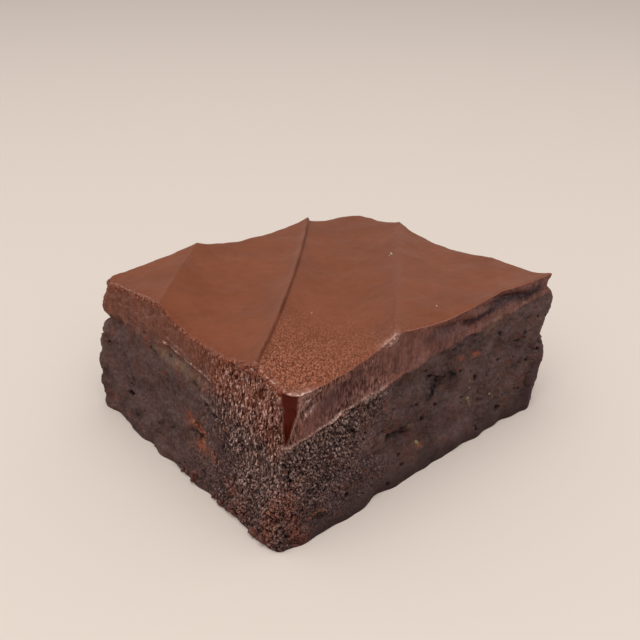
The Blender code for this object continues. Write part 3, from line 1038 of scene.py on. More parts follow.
# Bits at places that show: measures on the two axes and a radius, in millimetres
PLACED_BITS = {
    "top_grains": {
        "on": "frosting_top",
        "axes": [0, 1],
        "slot": "frosting",
        "seed": 21,
        "look": PALE_GRAIN,
        "places": ((23.1, -0.8, 0.42), (22.5, -0.4, 0.22), (6.8, -31.2, 0.36), (-15.2, -11.6, 0.18)),
    },
    "torn_flakes": {
        "on": "crumb_left",
        "axes": [1, 2],
        "slot": "crumb",
        "seed": 22,
        "look": FLAKE,
        "places": ((-3.9, 15.3, 0.9), (-5.2, 14.6, 0.55), (-7.6, 12.3, 0.7), (-9.1, 10.2, 0.45)),
    },
    "face_grains": {
        "on": "crumb_front",
        "axes": [0, 2],
        "slot": "crumb",
        "seed": 23,
        "look": OLIVE_GRAIN,
        "places": (
            (14.1, 13.0, 0.6),
            (14.5, 12.0, 0.5),
            (23.2, 10.5, 0.35),
            (-4.3, 8.4, 0.5),
            (-3.4, 7.7, 0.45),
            (14.7, 15.8, 0.25),
        ),
    },
}


# Finishes


def wire(tree, kind, inputs=None, **settings):
    """Adds a node, applies its settings, and links or sets its inputs by name or number."""
    node = tree.nodes.new(kind)
    for title, value in settings.items():
        setattr(node, title, value)
    for title, value in (inputs or {}).items():
        socket = node.inputs[title]
        if isinstance(value, bpy.types.NodeSocket):
            tree.links.new(value, socket)
        else:
            socket.default_value = value
    return node


def maths(tree, operation, first, second=0.0, third=0.0, clamp=False):
    """One step of arithmetic on values."""
    inputs = {0: first, 1: second, 2: third}
    return wire(tree, "ShaderNodeMath", inputs, operation=operation, use_clamp=clamp).outputs[0]


def times(tree, first, second):
    """first * second."""
    return maths(tree, "MULTIPLY", first, second)


def ramp(tree, value, low, high, to_low=0.0, to_high=1.0):
    """The value carried from low..high to to_low..to_high, held at both ends."""
    if low > high:
        low, high, to_low, to_high = high, low, to_high, to_low
    inputs = {"Value": value, "From Min": low, "From Max": high, "To Min": to_low, "To Max": to_high}
    return wire(tree, "ShaderNodeMapRange", inputs, clamp=True).outputs["Result"]


def blend_values(tree, share, first, second):
    """first + share * (second - first)."""
    return wire(tree, "ShaderNodeMix", {0: share, 2: first, 3: second}).outputs[0]


def blend_colours(tree, share, first, second):
    """first + share * (second - first) for colours, the share held from 0 to 1."""
    inputs = {0: share, 6: first, 7: second}
    return wire(tree, "ShaderNodeMix", inputs, data_type="RGBA", clamp_factor=True).outputs[2]


def layered(tree, colour, *layers):
    """A colour with others laid over it, given as (share, colour) from the lowest up."""
    for share, over in layers:
        colour = blend_colours(tree, share, colour, over)
    return colour


def mask(tree, name):
    """A value stored on the points of the piece."""
    return wire(tree, "ShaderNodeAttribute", attribute_name=name).outputs["Fac"]


def noise_of(tree, vector, scale, detail, rough):
    """Soft noise from 0 to 1 with a number of finer layers, each weaker by rough."""
    inputs = {"Vector": vector, "Scale": scale, "Detail": detail, "Roughness": rough}
    return wire(tree, "ShaderNodeTexNoise", inputs).outputs["Fac"]


def new_group(name, inputs, outputs):
    """A shader node group with named sockets, given as (name, kind, default) and (name, kind)."""
    group = bpy.data.node_groups.new(name, "ShaderNodeTree")
    for title, kind, default in inputs:
        socket = group.interface.new_socket(title, in_out="INPUT", socket_type=kind)
        if default is not None:
            socket.default_value = default
    for title, kind in outputs:
        group.interface.new_socket(title, in_out="OUTPUT", socket_type=kind)
    entry = group.nodes.new("NodeGroupInput")
    leave = group.nodes.new("NodeGroupOutput")
    return group, entry.outputs, leave.inputs


def mottle_group():
    """Cloudy change between two colours in two sizes."""
    name = "Mottle"
    if name in bpy.data.node_groups:
        return bpy.data.node_groups[name]
    inputs = (
        ("Vector", "NodeSocketVector", None),
        ("Size", "NodeSocketFloat", 100.0),
        ("Dark", "NodeSocketColor", (0.05, 0.03, 0.02, 1)),
        ("Light", "NodeSocketColor", (0.1, 0.06, 0.04, 1)),
    )
    group, given, result = new_group(name, inputs, (("Color", "NodeSocketColor"),))
    broad = noise_of(group, given["Vector"], given["Size"], 3.0, 0.6)
    fine_size = times(group, given["Size"], 6.3)
    fine = noise_of(group, given["Vector"], fine_size, 2.0, 0.5)
    both = maths(group, "ADD", times(group, broad, 0.65), times(group, fine, 0.35))
    share = ramp(group, both, 0.36, 0.64)
    group.links.new(blend_colours(group, share, given["Dark"], given["Light"]), result["Color"])
    return group


def speck_group():
    """Sparse round specks: 1 inside a speck, 0 between specks, from a random cell pattern."""
    name = "Specks"
    if name in bpy.data.node_groups:
        return bpy.data.node_groups[name]
    inputs = (
        ("Vector", "NodeSocketVector", None),
        ("Size", "NodeSocketFloat", 1000.0),
        ("Share", "NodeSocketFloat", 0.2),
    )
    group, given, result = new_group(name, inputs, (("Mask", "NodeSocketFloat"),))
    cell = wire(group, "ShaderNodeTexVoronoi", {"Vector": given["Vector"], "Scale": given["Size"]})
    inside = ramp(group, cell.outputs["Distance"], 0.2, 0.45, 1.0, 0.0)
    pick = wire(group, "ShaderNodeSeparateColor", {"Color": cell.outputs["Color"]}).outputs["Red"]
    chosen = maths(group, "LESS_THAN", pick, given["Share"])
    group.links.new(times(group, inside, chosen), result["Mask"])
    return group


def grain_group():
    """Fine packed grain: a height from 0 to 1 out of a cell pattern and a noise."""
    name = "Fine grain"
    if name in bpy.data.node_groups:
        return bpy.data.node_groups[name]
    inputs = (("Vector", "NodeSocketVector", None), ("Size", "NodeSocketFloat", 1500.0))
    group, given, result = new_group(name, inputs, (("Height", "NodeSocketFloat"),))
    cell = wire(group, "ShaderNodeTexVoronoi", {"Vector": given["Vector"], "Scale": given["Size"]})
    soft = noise_of(group, given["Vector"], times(group, given["Size"], 0.8), 3.0, 0.6)
    grains = ramp(group, cell.outputs["Distance"], 0.0, 0.7, 1.0, 0.0)
    total = maths(group, "ADD", times(group, grains, 0.55), times(group, soft, 0.45))
    group.links.new(total, result["Height"])
    return group


def effect(tree, group, inputs, output):
    """An output of a shared group, placed in a material or another group."""
    return wire(tree, "ShaderNodeGroup", inputs, node_tree=group).outputs[output]


def mottled(tree, vector, size, dark, light):
    """A colour that changes in clouds of the given scale between a dark and a light one."""
    settings = {"Vector": vector, "Size": size, "Dark": dark, "Light": light}
    return effect(tree, mottle_group(), settings, "Color")


def stretched(tree, place, share):
    """Coordinates that draw a pattern upwards when the share is below 1."""
    return wire(tree, "ShaderNodeMapping", {"Vector": place, "Scale": (1.0, 1.0, share)}).outputs[0]


def new_material(name, roughness, specular):
    """A material with a Principled shader, returned with its tree and its object coordinates."""
    material = bpy.data.materials.new(name)
    material.use_nodes = True
    tree = material.node_tree
    shader = tree.nodes["Principled BSDF"]
    shader.inputs["Roughness"].default_value = roughness
    shader.inputs["Specular IOR Level"].default_value = specular
    place = wire(tree, "ShaderNodeTexCoord").outputs["Object"]
    return material, tree, shader, place


def add_bump(tree, shader, height, strength, distance):
    """Fine relief: the normal tilted by the slope of height * distance."""
    inputs = {"Strength": strength, "Distance": distance, "Height": height}
    normal = wire(tree, "ShaderNodeBump", inputs).outputs["Normal"]
    tree.links.new(normal, shader.inputs["Normal"])


def solid(colour):
    """The colour with full opacity."""
    return (*colour, 1.0)


# Inputs of the cut face group: masks stored on the points, and colours of the look, painted shade and
# painted highlight among them
CUT_MASKS = ("chocolate", "hollow", "grain", "lustre", "drawn", "calm", "pressed", "left")
CUT_MASKS += ("crisp", "gloss", "edge", "wet", "torn", "pale_grains", "creased")
CUT_COLOURS = ("crumb_dark", "crumb_light", "warm", "red", "foot", "pit", "front_dark", "front_light")
CUT_COLOURS += ("left_dark", "left_light", "left_far", "rim", "corner", "spark", "ember", "pale")
CUT_COLOURS += ("plum", "gap", "chocolate_gap")

# Scales of the shader patterns, in cells per metre
CRUMB_CLOUDS = 150.0
WARM_PATCHES = 230.0
RED_SPECKS = 520.0
FRONT_STREAKS = 330.0
LEFT_STREAKS = 420.0
PAINT_BREAKS = 900.0
PACKED_GRAIN = 1900.0
PULLED_GRAIN = 2300.0
FINE_GRAIN = 2900.0
DRAG_LINES = 2400.0
WET_PEAKS = 1800.0
TOP_CLOUDS = 55.0
TOP_TEXTURE = 2500.0
TOP_FINE_GRAIN = 2100.0
TOP_PATCHES = 140.0
BIT_CLOUDS = 900.0
BIT_GRAIN = 3000.0
FLOOR_CLOUDS = 3.0


def crumb_colour(group, given):
    """Mottled dark browns with warm patches and red specks, and a darker pressed foot."""
    place = given["Vector"]
    warm = ramp(group, noise_of(group, place, WARM_PATCHES, 3.0, 0.6), 0.52, 0.66, 0.0, 0.5)
    reds = effect(group, speck_group(), {"Vector": place, "Size": RED_SPECKS, "Share": 0.10}, "Mask")
    return layered(
        group,
        mottled(group, place, CRUMB_CLOUDS, given["Crumb dark"], given["Crumb light"]),
        (warm, given["Warm"]),
        (times(group, reds, 0.7), given["Red"]),
        (times(group, given["Pressed"], 0.85), given["Foot"]),
    )


def chocolate_colour(group, given, dragged):
    """Streaks drawn upwards, redder on the left face and duller there away from the corner."""
    front = mottled(group, dragged, FRONT_STREAKS, given["Front dark"], given["Front light"])
    left = mottled(group, dragged, LEFT_STREAKS, given["Left dark"], given["Left light"])
    far = ramp(group, given["Crisp"], 0.0, 0.8, 0.6, 0.0)
    return layered(group, front, (given["Left"], layered(group, left, (far, given["Left far"]))))


def grain_texture(group, given):
    """Signed grain: noise from -3 to 3, packed or drawn upwards, + the grain of the relief."""
    packed = noise_of(group, given["Vector"], PACKED_GRAIN, 2.0, 0.55)
    pulled = noise_of(group, stretched(group, given["Vector"], 0.26), PULLED_GRAIN, 2.0, 0.55)
    texture = blend_values(group, given["Drawn"], packed, pulled)
    return maths(group, "ADD", maths(group, "MULTIPLY_ADD", texture, 6.0, -3.0), given["Grain"])


def cut_face_group():
    """Colour, roughness, height and shine of a cut face, from crumb to chocolate.

    Over the colours of crumb and chocolate lie the rim, creases with their painted shade, torn holes and
    pale grains, then painted shade in the gaps where the grain is low and in pits, the glossy corner and
    painted highlights on the tops.
    """
    name = "Cut face"
    if name in bpy.data.node_groups:
        return bpy.data.node_groups[name]
    inputs = [("Vector", "NodeSocketVector", None)]
    inputs += [(title_of(title), "NodeSocketFloat", 0.0) for title in CUT_MASKS]
    inputs += [(title_of(title), "NodeSocketColor", (0.1, 0.05, 0.04, 1)) for title in CUT_COLOURS]
    outputs = [("Color", "NodeSocketColor")]
    outputs += [(title, "NodeSocketFloat") for title in ("Roughness", "Height", "Shine")]
    group, given, result = new_group(name, inputs, outputs)
    place = given["Vector"]
    dragged = stretched(group, place, 0.16)
    texture = grain_texture(group, given)
    fine = effect(group, grain_group(), {"Vector": place, "Size": FINE_GRAIN}, "Height")
    streak = noise_of(group, dragged, DRAG_LINES, 2.0, 0.6)

    # Shine: coat weight and the share of painted highlight colour, on the lit edges and on the grain's
    # tops
    peaks = ramp(group, noise_of(group, place, WET_PEAKS, 3.0, 0.6), 0.42, 0.58, 0.3, 1.0)
    tops = times(group, ramp(group, texture, 0.1, 1.25), given["Lustre"])
    shine = maths(group, "MAXIMUM", times(group, given["Wet"], peaks), tops)
    close = times(group, ramp(group, given["Crisp"], 0.0, 1.0, 0.25, 1.0), given["Calm"])
    broken = ramp(group, noise_of(group, place, PAINT_BREAKS, 3.0, 0.7), 0.38, 0.58, 0.2, 1.0)
    # Colour of the painted shade in the gaps
    gap_shade_colour = blend_colours(group, given["Chocolate"], given["Gap"], given["Chocolate gap"])
    colour = layered(
        group,
        crumb_colour(group, given),
        (given["Chocolate"], chocolate_colour(group, given, dragged)),
        (times(group, given["Edge"], 0.75), given["Rim"]),
        (given["Creased"], given["Plum"]),
        (times(group, given["Torn"], broken), given["Ember"]),
        (times(group, given["Pale grains"], broken), given["Pale"]),
        # Painted shade in the gaps, where the grain is low
        (times(group, ramp(group, texture, 0.05, -0.8, 0.0, 0.97), close), gap_shade_colour),
        # Painted shade in pits, hollows and creases, and the marked shadow
        (given["Hollow"], given["Pit"]),
        (given["Gloss"], given["Corner"]),
        # Painted highlight on the lit edges and the grain's tops
        (times(group, maths(group, "POWER", shine, 1.2), 0.95), given["Spark"]),
    )
    group.links.new(colour, result["Color"])
    coat = maths(group, "MAXIMUM", shine, times(group, given["Gloss"], 0.04))
    group.links.new(coat, result["Shine"])

    crumb_rough = ramp(group, fine, 0.35, 0.75, 0.62, 0.30)
    spread_rough = ramp(group, streak, 0.3, 0.7, 0.30, 0.55)
    rough = blend_values(group, given["Chocolate"], crumb_rough, spread_rough)
    rough = maths(group, "ADD", rough, times(group, given["Hollow"], 0.35), clamp=True)
    rough = maths(group, "SUBTRACT", rough, times(group, given["Gloss"], 0.3))
    group.links.new(maths(group, "MAXIMUM", rough, 0.1), result["Roughness"])

    firm = ramp(group, given["Pressed"], 0.0, 1.0, 1.0, 0.3)
    kept = times(group, firm, ramp(group, given["Crisp"], 0.0, 1.0, 0.45, 1.0))
    drawn = maths(group, "ADD", times(group, streak, 0.5), times(group, fine, 0.6))
    height = blend_values(group, given["Chocolate"], times(group, fine, kept), drawn)
    height = times(group, height, ramp(group, given["Gloss"], 0.0, 0.6, 1.0, 0.05))
    group.links.new(height, result["Height"])
    return group


def cut_face(tree, place, look):
    """The cut face group placed in a material, with this look's colours."""
    inputs = {"Vector": place}
    inputs |= {title_of(name): mask(tree, name) for name in CUT_MASKS}
    inputs |= {title_of(name): solid(getattr(look, name)) for name in CUT_COLOURS}
    return wire(tree, "ShaderNodeGroup", inputs, node_tree=cut_face_group()).outputs


def cut_material(name, look):
    """A cut side: the cut face's colour, sheen and fine relief."""
    material, tree, shader, place = new_material(name, 0.5, 0.05)
    face = cut_face(tree, place, look)
    tree.links.new(face["Color"], shader.inputs["Base Color"])
    tree.links.new(face["Roughness"], shader.inputs["Roughness"])
    tree.links.new(face["Shine"], shader.inputs["Coat Weight"])
    shader.inputs["Coat Roughness"].default_value = 0.25
    add_bump(tree, shader, face["Height"], 1.0, 0.00025)
    return material


def top_material(look):
    """The satin top: cloudy brown, redder at the rim; towards the near corner its fine grain gets painted
    glints and painted shade between the grains, with painted highlights on the crests and the lit edge
    and painted shade along the fold.
    """
    material, tree, shader, place = new_material("Chocolate top", 0.42, 0.10)
    near, lit = mask(tree, "near"), mask(tree, "wet")
    turn = math.atan2(STROKE_Y, STROKE_X)
    settings = {"Vector": place, "Rotation": (0.0, 0.0, turn), "Scale": (1.9, 1.0, 1.0)}
    along = wire(tree, "ShaderNodeMapping", settings, vector_type="TEXTURE").outputs[0]
    grains = noise_of(tree, along, TOP_TEXTURE, 2.0, 0.6)
    close = ramp(tree, near, 0.25, 0.65)
    colour = layered(
        tree,
        mottled(tree, place, TOP_CLOUDS, solid(look.top_dark), solid(look.top_light)),
        # Painted highlight along the crests
        (times(tree, mask(tree, "crest"), 0.6), solid(look.crest)),
        # Painted glints on the fine grain's tops near the corner, then painted shade between the grains
        (times(tree, ramp(tree, grains, 0.50, 0.63), close), solid(look.top_grain)),
        (times(tree, ramp(tree, grains, 0.48, 0.36), close), solid(look.top_shade)),
        (times(tree, mask(tree, "rim"), 0.7), solid(look.rim)),
        # Painted shade along the fold and the scratches
        (times(tree, mask(tree, "fold"), 0.75), solid(look.top_shade)),
        # Painted highlight along the top's edge
        (times(tree, lit, 0.85), solid(look.spark)),
    )
    tree.links.new(colour, shader.inputs["Base Color"])
    tree.links.new(lit, shader.inputs["Coat Weight"])
    shader.inputs["Coat Roughness"].default_value = 0.2
    fine = effect(tree, grain_group(), {"Vector": place, "Size": TOP_FINE_GRAIN}, "Height")
    patchy = ramp(tree, noise_of(tree, place, TOP_PATCHES, 3.0, 0.6), 0.3, 0.7, 0.36, 0.46)
    sparkle = times(tree, ramp(tree, fine, 0.5, 0.75, 0.0, 0.2), near)
    tree.links.new(maths(tree, "SUBTRACT", patchy, sparkle), shader.inputs["Roughness"])
    amount = ramp(tree, near, 0.1, 0.9, 0.25, 2.2)
    add_bump(tree, shader, times(tree, fine, amount), 0.8, 0.00014)
    return material


def bit_material(name, dark, light, roughness):
    """A small crumb or grain: mottled between two colours, with a fine broken surface."""
    material, tree, shader, place = new_material(name, roughness, 0.2)
    colour = mottled(tree, place, BIT_CLOUDS, solid(dark), solid(light))
    tree.links.new(colour, shader.inputs["Base Color"])
    fine = effect(tree, grain_group(), {"Vector": place, "Size": BIT_GRAIN}, "Height")
    add_bump(tree, shader, fine, 0.5, 0.0001)
    return material


# What a user would change


def count_setting(name, description, default, least=1):
    """A whole number of at least some size."""
    return IntProperty(name=name, description=description, default=default, min=least)


def length_setting(name, description, default):
    """A length in metres."""
    return FloatProperty(name=name, description=description, default=default, unit="LENGTH")


def angle_setting(name, description, degrees):
    """An angle, given in degrees and kept in radians."""
    default = math.radians(degrees)
    return FloatProperty(name=name, description=description, default=default, subtype="ANGLE")


def colour_setting(name, description, default):
    """A colour in linear light, each part from 0 to 1."""
    return FloatVectorProperty(
        name=name,
        description=description,
        default=default,
        subtype="COLOR",
        min=0.0,
        max=1.0,
    )


class BrownieForm(PropertyGroup):
    """Fineness of the meshes and depths of the relief"""

    cells_x: count_setting("Cells along", "Cells of the top along the long faces", 312, 16)
    cells_y: count_setting("Cells across", "Cells of the top along the short faces", 273, 14)
    close_cells: count_setting("Close cells", "Cells by the near corner cut in three", 112, 2)
    crumb_rows: count_setting("Crumb rows", "Rows of points down the crumb", 168, 8)
    frosting_rows: count_setting("Chocolate rows", "Rows down the chocolate", 100, 4)
    nub_size: length_setting("Nub size", "Width of the packed nubs", 0.0007)
    nub_depth: length_setting("Nub depth", "How far nubs stand out", 0.00040)
    pit_depth: length_setting("Pit depth", "Depth of the sparse pits", 0.0009)
    drag: length_setting("Knife drag", "Depth of the upright drag lines", 0.00013)
    edge_round: length_setting("Edge rounding", "How far the top's edge drops", 0.0005)


class BrownieLook(PropertyGroup):
    """Colours of the crumb and the chocolate, with painted shade and painted highlights"""

    crumb_dark: colour_setting("Crumb dark", "Darker crumb", (0.050, 0.027, 0.024))
    crumb_light: colour_setting("Crumb light", "Lighter crumb", (0.118, 0.068, 0.065))
    warm: colour_setting("Warm patches", "Warmer patches in the crumb", (0.115, 0.050, 0.036))
    red: colour_setting("Red specks", "Reddish specks in the crumb", (0.14, 0.04, 0.02))
    foot: colour_setting("Foot", "Pressed foot of the front face", (0.030, 0.016, 0.015))
    # Painted shade colour of pits, hollows, creases and the marked shadow
    pit: colour_setting("Pits", "Inside of the pits", (0.008, 0.004, 0.004))
    front_dark: colour_setting("Front dark", "Front chocolate, darker", (0.075, 0.030, 0.024))
    front_light: colour_setting("Front light", "Front chocolate, lighter", (0.222, 0.095, 0.077))
    left_dark: colour_setting("Left dark", "Left chocolate, darker", (0.092, 0.023, 0.011))
    left_light: colour_setting("Left light", "Left chocolate, lighter", (0.270, 0.096, 0.060))
    left_far: colour_setting("Left far", "Left chocolate away from the corner", (0.168, 0.064, 0.043))
    rim: colour_setting("Rim", "Edge of the top", (0.185, 0.044, 0.018))
    corner: colour_setting("Corner", "Glossy near corner", (0.074, 0.009, 0.0035))
    # Painted highlight colour of the cut faces and the top's edge
    spark: colour_setting("Sparkle", "Small bright grains of the cut faces", (0.62, 0.375, 0.31))
    ember: colour_setting("Torn crumb", "Warm crumb where the face is torn", (0.36, 0.095, 0.042))
    pale: colour_setting("Pale grains", "Pale and olive grains of the cut faces", (0.22, 0.15, 0.085))
    plum: colour_setting("Creases", "Shaded creases and smears of the front face", (0.038, 0.015, 0.019))
    # The next two colours: painted shade in the gaps between the grains and the wrinkles
    gap: colour_setting("Gaps", "Gaps between the grains of the crumb", (0.011, 0.004, 0.004))
    chocolate_gap: colour_setting("Chocolate gaps", "Gaps between the wrinkles", (0.022, 0.003, 0.001))
    top_dark: colour_setting("Top dark", "Top, darker", (0.190, 0.054, 0.0215))
    top_light: colour_setting("Top light", "Top, lighter", (0.242, 0.070, 0.030))
    # The next two colours: painted glints on the top's fine grain, and painted shade between the grains,
    # along the fold and in the scratches
    top_grain: colour_setting("Top grain", "Pale grain near the corner", (0.42, 0.16, 0.100))
    top_shade: colour_setting("Top gaps", "Between the fine grains of the top", (0.095, 0.018, 0.006))
    # Painted highlight colour along the crests
    crest: colour_setting("Crests", "Skin of the crests", (0.235, 0.080, 0.042))


class BrownieBits(PropertyGroup):
    """Number and size of the loose bits"""

    rim_count: count_setting("Rim crumbs", "Chips along the cut edge", 700)
    foot_count: count_setting("Foot crumbs", "Crumbs at the foot", 110)
    rim_size: length_setting("Rim crumb size", "Radius of a chip", 0.00022)
    foot_size: length_setting("Foot crumb size", "Radius of a crumb", 0.00038)


class BrownieStage(PropertyGroup):
    """Camera, floor and lights"""

    lens: FloatProperty(name="Lens", description="Focal length for a 36 mm sensor", default=47.115)
    azimuth: angle_setting("Azimuth", "Camera azimuth", -41.88)
    pitch: angle_setting("Pitch", "Camera pitch downwards", 28.13)
    roll: angle_setting("Roll", "Camera roll", 0.8)
    place: FloatVectorProperty(
        name="Place", description="Camera place", default=(-0.13048, -0.14328, 0.1288), unit="LENGTH"
    )
    floor: colour_setting("Floor", "Floor colour", (0.80, 0.715, 0.655))
    sky: colour_setting("Room", "Colour of the room light", (1.0, 0.965, 0.93))
    sky_strength: FloatProperty(name="Room light", description="Strength of the room light", default=0.54)
    key_power: FloatProperty(
        name="Key light", description="Power of the large soft light", default=6.4, unit="POWER"
    )


# Operators


class BROWNIE_OT_crumb(Operator):
    """Build the cut block of crumb"""

    bl_idname = "brownie.crumb"
    bl_label = "Crumb"

    def execute(self, context):
        form, look = context.scene.brownie_form, context.scene.brownie_look
        grid, above = crumb_ring(form)
        done, masks = moved(grid, above, np.full(above.shape, FAR_BELOW_TOP), form)
        held = ease(grid[..., 2:] / FOOT_HELD)
        done = grid + (done - grid) * held
        done[..., 2] = np.maximum(done[..., 2], 0.0)
        material = cut_material("Brownie crumb", look)
        pieces = make_wedges("crumb", done, masks, *CRUMB_CORE, 0.0, material, form)
        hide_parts("crumb")
        return {"FINISHED"}


class BROWNIE_OT_frosting(Operator):
    """Build the spread chocolate layer"""

    bl_idname = "brownie.frosting"
    bl_label = "Chocolate"

    def execute(self, context):
        form, look = context.scene.brownie_form, context.scene.brownie_look
        top, masks = top_grid(form)
        rows = form.cells_y + 1
        cell = (np.arange(form.cells_x)[:, None] * rows + np.arange(form.cells_y)).ravel()
        near_half = np.stack([cell, cell + rows, cell + rows + 1], axis=-1)
        far_half = np.stack([cell, cell + rows + 1, cell + 1], axis=-1)
        index = np.arange(top.shape[0] * top.shape[1]).reshape(top.shape[:2])
        loop = np.concatenate([index[:-1, 0], index[-1, :-1], index[:0:-1, -1], index[0, ::-1]])
        loop = np.append(loop, loop[0])
        hidden = top.reshape(-1, 3)[loop] * (TURN_IN, TURN_IN, 1.0) - (0.0, 0.0, SIDE_SINK)
        points = np.concatenate([top.reshape(-1, 3), hidden, [TOP_CORE]])
        turned = index.size + np.arange(len(loop))
        turned[-1] = turned[0]
        under = np.concatenate([strip(loop, turned), fan(turned[::-1], len(points) - 1)])
        visible = np.concatenate([near_half, far_half])
        piece = make_piece("frosting_top", points, visible, under, top_material(look), masks)
        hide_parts("frosting")
        edge = top_edge(top, form)
        grid, above, below_top = frosting_ring(form, edge)
        done, masks = moved(grid, above, below_top, form)
        done[0] = edge
        material = cut_material("Chocolate side", look)
        pieces = make_wedges("frosting", done, masks, *FROSTING_CORE, SIDE_SINK, material, form)
        return {"FINISHED"}


class BROWNIE_OT_bits(Operator):
    """Scatter chips on the cut edge and crumbs at the foot"""

    bl_idname = "brownie.bits"
    bl_label = "Loose bits"

    def execute(self, context):
        bits = context.scene.brownie_bits
        draw = np.random.default_rng(7)
        points, normals, masks = surface_of("frosting_left")
        weight = masks["edge"] ** 5 * (points[:, 2] > CHIPS_START) * (0.35 + masks["crisp"])
        seats = scatter(points, normals, weight, bits.rim_count, seed=3, sink=0.0)
        sizes = bits.rim_size / MM * draw.lognormal(0.0, 0.4, bits.rim_count)
        add_bits("rim_chips", seats, sizes, 5, CHIPS, rings=3, sides=6)
        points, normals, masks = surface_of("crumb_left")
        x, y, z = points.T
        low = bump_at(z, CRUMBS_HEIGHT, 1.0) * (z > CRUMBS_START)
        low = low * (x < CRUMBS_EDGE) * (y > CRUMBS_EDGE)
        clumps = ease((grain(points, "clumps") + 0.1) / 0.3)
        weight = low * clumps * (0.15 + masks["crisp"])
        seats = scatter(points, normals, weight, bits.foot_count, seed=13, sink=0.1)
        sizes = bits.foot_size / MM * draw.lognormal(0.0, 0.5, bits.foot_count)
        seats[:, 2] = np.maximum(seats[:, 2], sizes * 1.3)
        add_bits("foot_crumbs", seats, sizes, 15, FOOT_CRUMBS, rings=4, sides=7)
        for name, spec in PLACED_BITS.items():
            seats = seats_at(spec["on"], spec["axes"], np.array([place[:2] for place in spec["places"]]))
            sizes = np.array([place[2] for place in spec["places"]])
            seed, look = spec["seed"], spec["look"]
            add_bits(name, seats, sizes, seed, look, rings=6, sides=9)
        return {"FINISHED"}


class BROWNIE_OT_stage(Operator):
    """Set the floor, the soft lights and the camera"""

    bl_idname = "brownie.stage"
    bl_label = "Stage"

    def execute(self, context):
        stage = context.scene.brownie_stage
        add_floor(stage)
        add_lights(context.scene, stage)
        add_camera(context.scene, stage)
        context.scene.view_settings.view_transform = "Standard"
        return {"FINISHED"}


def add_floor(stage):
    """A wide plain floor, faintly cloudy."""
    material, tree, shader, place = new_material("Pale floor", 0.7, 0.0)
    cloudy = noise_of(tree, place, FLOOR_CLOUDS, 3.0, 0.5)
    share = ramp(tree, cloudy, 0.3, 0.7, 0.0, 0.12)
    paler = tuple(min(1.0, part * 1.05) for part in stage.floor)
    colour = blend_colours(tree, share, solid(stage.floor), solid(paler))
    tree.links.new(colour, shader.inputs["Base Color"])
    half = FLOOR_HALF
    mesh = bpy.data.meshes.new("floor")
    corners = [(-half, -half, 0), (half, -half, 0), (half, half, 0), (-half, half, 0)]
    mesh.from_pydata(corners, [], [(0, 1, 2, 3)])
    mesh.materials.append(material)
    floor = bpy.data.objects.new("floor", mesh)
    bpy.context.scene.collection.objects.link(floor)


def add_area(scene, name, place, width, power):
    """A square soft light at a place, turned to face the brownie."""
    light = bpy.data.lights.new(name, "AREA")
    light.size = width
    light.energy = power
    light.color = LAMP_COLOUR
    lamp = bpy.data.objects.new(name, light)
    lamp.location = place
    lamp.rotation_euler = (Vector(LAMP_AIM) - Vector(place)).to_track_quat("-Z", "Y").to_euler()
    scene.collection.objects.link(lamp)
    return lamp


# The stage: the key light, then lights that only gloss shows, with place, width and power
FLOOR_HALF = 3.0
LAMP_AIM = (0.0, 0.0, 0.02)
LAMP_COLOUR = (1.0, 0.965, 0.93)
KEY_PLACE = (-0.24, -0.22, 0.86)
KEY_WIDTH = 1.2
GLEAMS = (
    ("gleam left", (-0.60, 0.70, 0.48), 0.80, 14.0),
    ("gleam right", (0.55, -0.65, 0.45), 0.80, 14.0),
)


def add_lights(scene, stage):
    """The key light, the two gleams and the even light of the room."""
    add_area(scene, "key", KEY_PLACE, KEY_WIDTH, stage.key_power)
    for name, place, width, power in GLEAMS:
        gleam = add_area(scene, name, place, width, power)
        gleam.visible_diffuse = False
    world = bpy.data.worlds.new("room")
    world.use_nodes = True
    sky = world.node_tree.nodes["Background"]
    sky.inputs["Color"].default_value = solid(stage.sky)
    sky.inputs["Strength"].default_value = stage.sky_strength
    scene.world = world


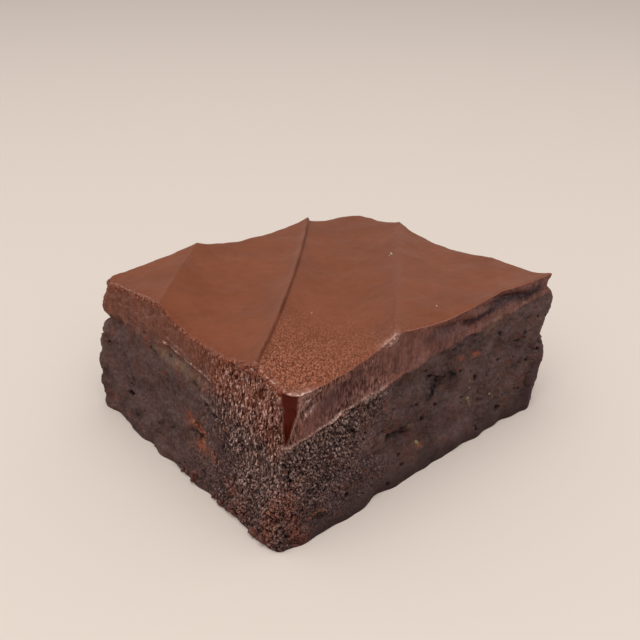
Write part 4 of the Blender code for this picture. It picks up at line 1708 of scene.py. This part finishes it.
def add_camera(scene, stage):
    """The camera from its place and angles: right, up and back are its matrix columns."""
    turn, pitch, roll = stage.azimuth, stage.pitch, stage.roll
    flat = Vector((-math.sin(turn), math.cos(turn), 0.0))
    level = Vector((math.cos(turn), math.sin(turn), 0.0))
    up = Vector((0.0, 0.0, 1.0))
    forward = flat * math.cos(pitch) - up * math.sin(pitch)
    upright = up * math.cos(pitch) + flat * math.sin(pitch)
    right = level * math.cos(roll) + upright * math.sin(roll)
    top = upright * math.cos(roll) - level * math.sin(roll)
    lens = bpy.data.cameras.new("camera")
    lens.sensor_width = 36.0
    lens.lens = stage.lens
    lens.clip_start = 0.005
    camera = bpy.data.objects.new("camera", lens)
    columns = Matrix((right, top, -forward)).transposed().to_4x4()
    camera.matrix_world = Matrix.Translation(stage.place) @ columns
    scene.collection.objects.link(camera)
    scene.camera = camera


class BROWNIE_PT_panel(Panel):
    """The brownie's pieces and their settings"""

    bl_idname = "BROWNIE_PT_panel"
    bl_label = "Brownie"
    bl_space_type = "VIEW_3D"
    bl_region_type = "UI"
    bl_category = "Brownie"

    def draw(self, context):
        for operator, settings in STEPS:
            box = self.layout.box()
            box.operator(operator.bl_idname)
            group = getattr(context.scene, settings)
            for title in group.bl_rna.properties.keys():
                if title not in ("rna_type", "name"):
                    box.prop(group, title)


STEPS = (
    (BROWNIE_OT_crumb, "brownie_form"),
    (BROWNIE_OT_frosting, "brownie_look"),
    (BROWNIE_OT_bits, "brownie_bits"),
    (BROWNIE_OT_stage, "brownie_stage"),
)
GROUPS = {
    "brownie_form": BrownieForm,
    "brownie_look": BrownieLook,
    "brownie_bits": BrownieBits,
    "brownie_stage": BrownieStage,
}
CLASSES = (*GROUPS.values(), *(operator for operator, _ in STEPS), BROWNIE_PT_panel)


def register():
    """Adds the classes, and the settings on the scene."""
    for item in CLASSES:
        bpy.utils.register_class(item)
    for name, group in GROUPS.items():
        setattr(bpy.types.Scene, name, PointerProperty(type=group))


def unregister():
    """Takes the settings off the scene, then the classes away."""
    for name in GROUPS:
        delattr(bpy.types.Scene, name)
    for item in reversed(CLASSES):
        bpy.utils.unregister_class(item)


def main():
    """Builds every piece and the stage."""
    register()
    bpy.ops.brownie.crumb()
    bpy.ops.brownie.frosting()
    bpy.ops.brownie.bits()
    bpy.ops.brownie.stage()


if __name__ == "__main__":
    main()
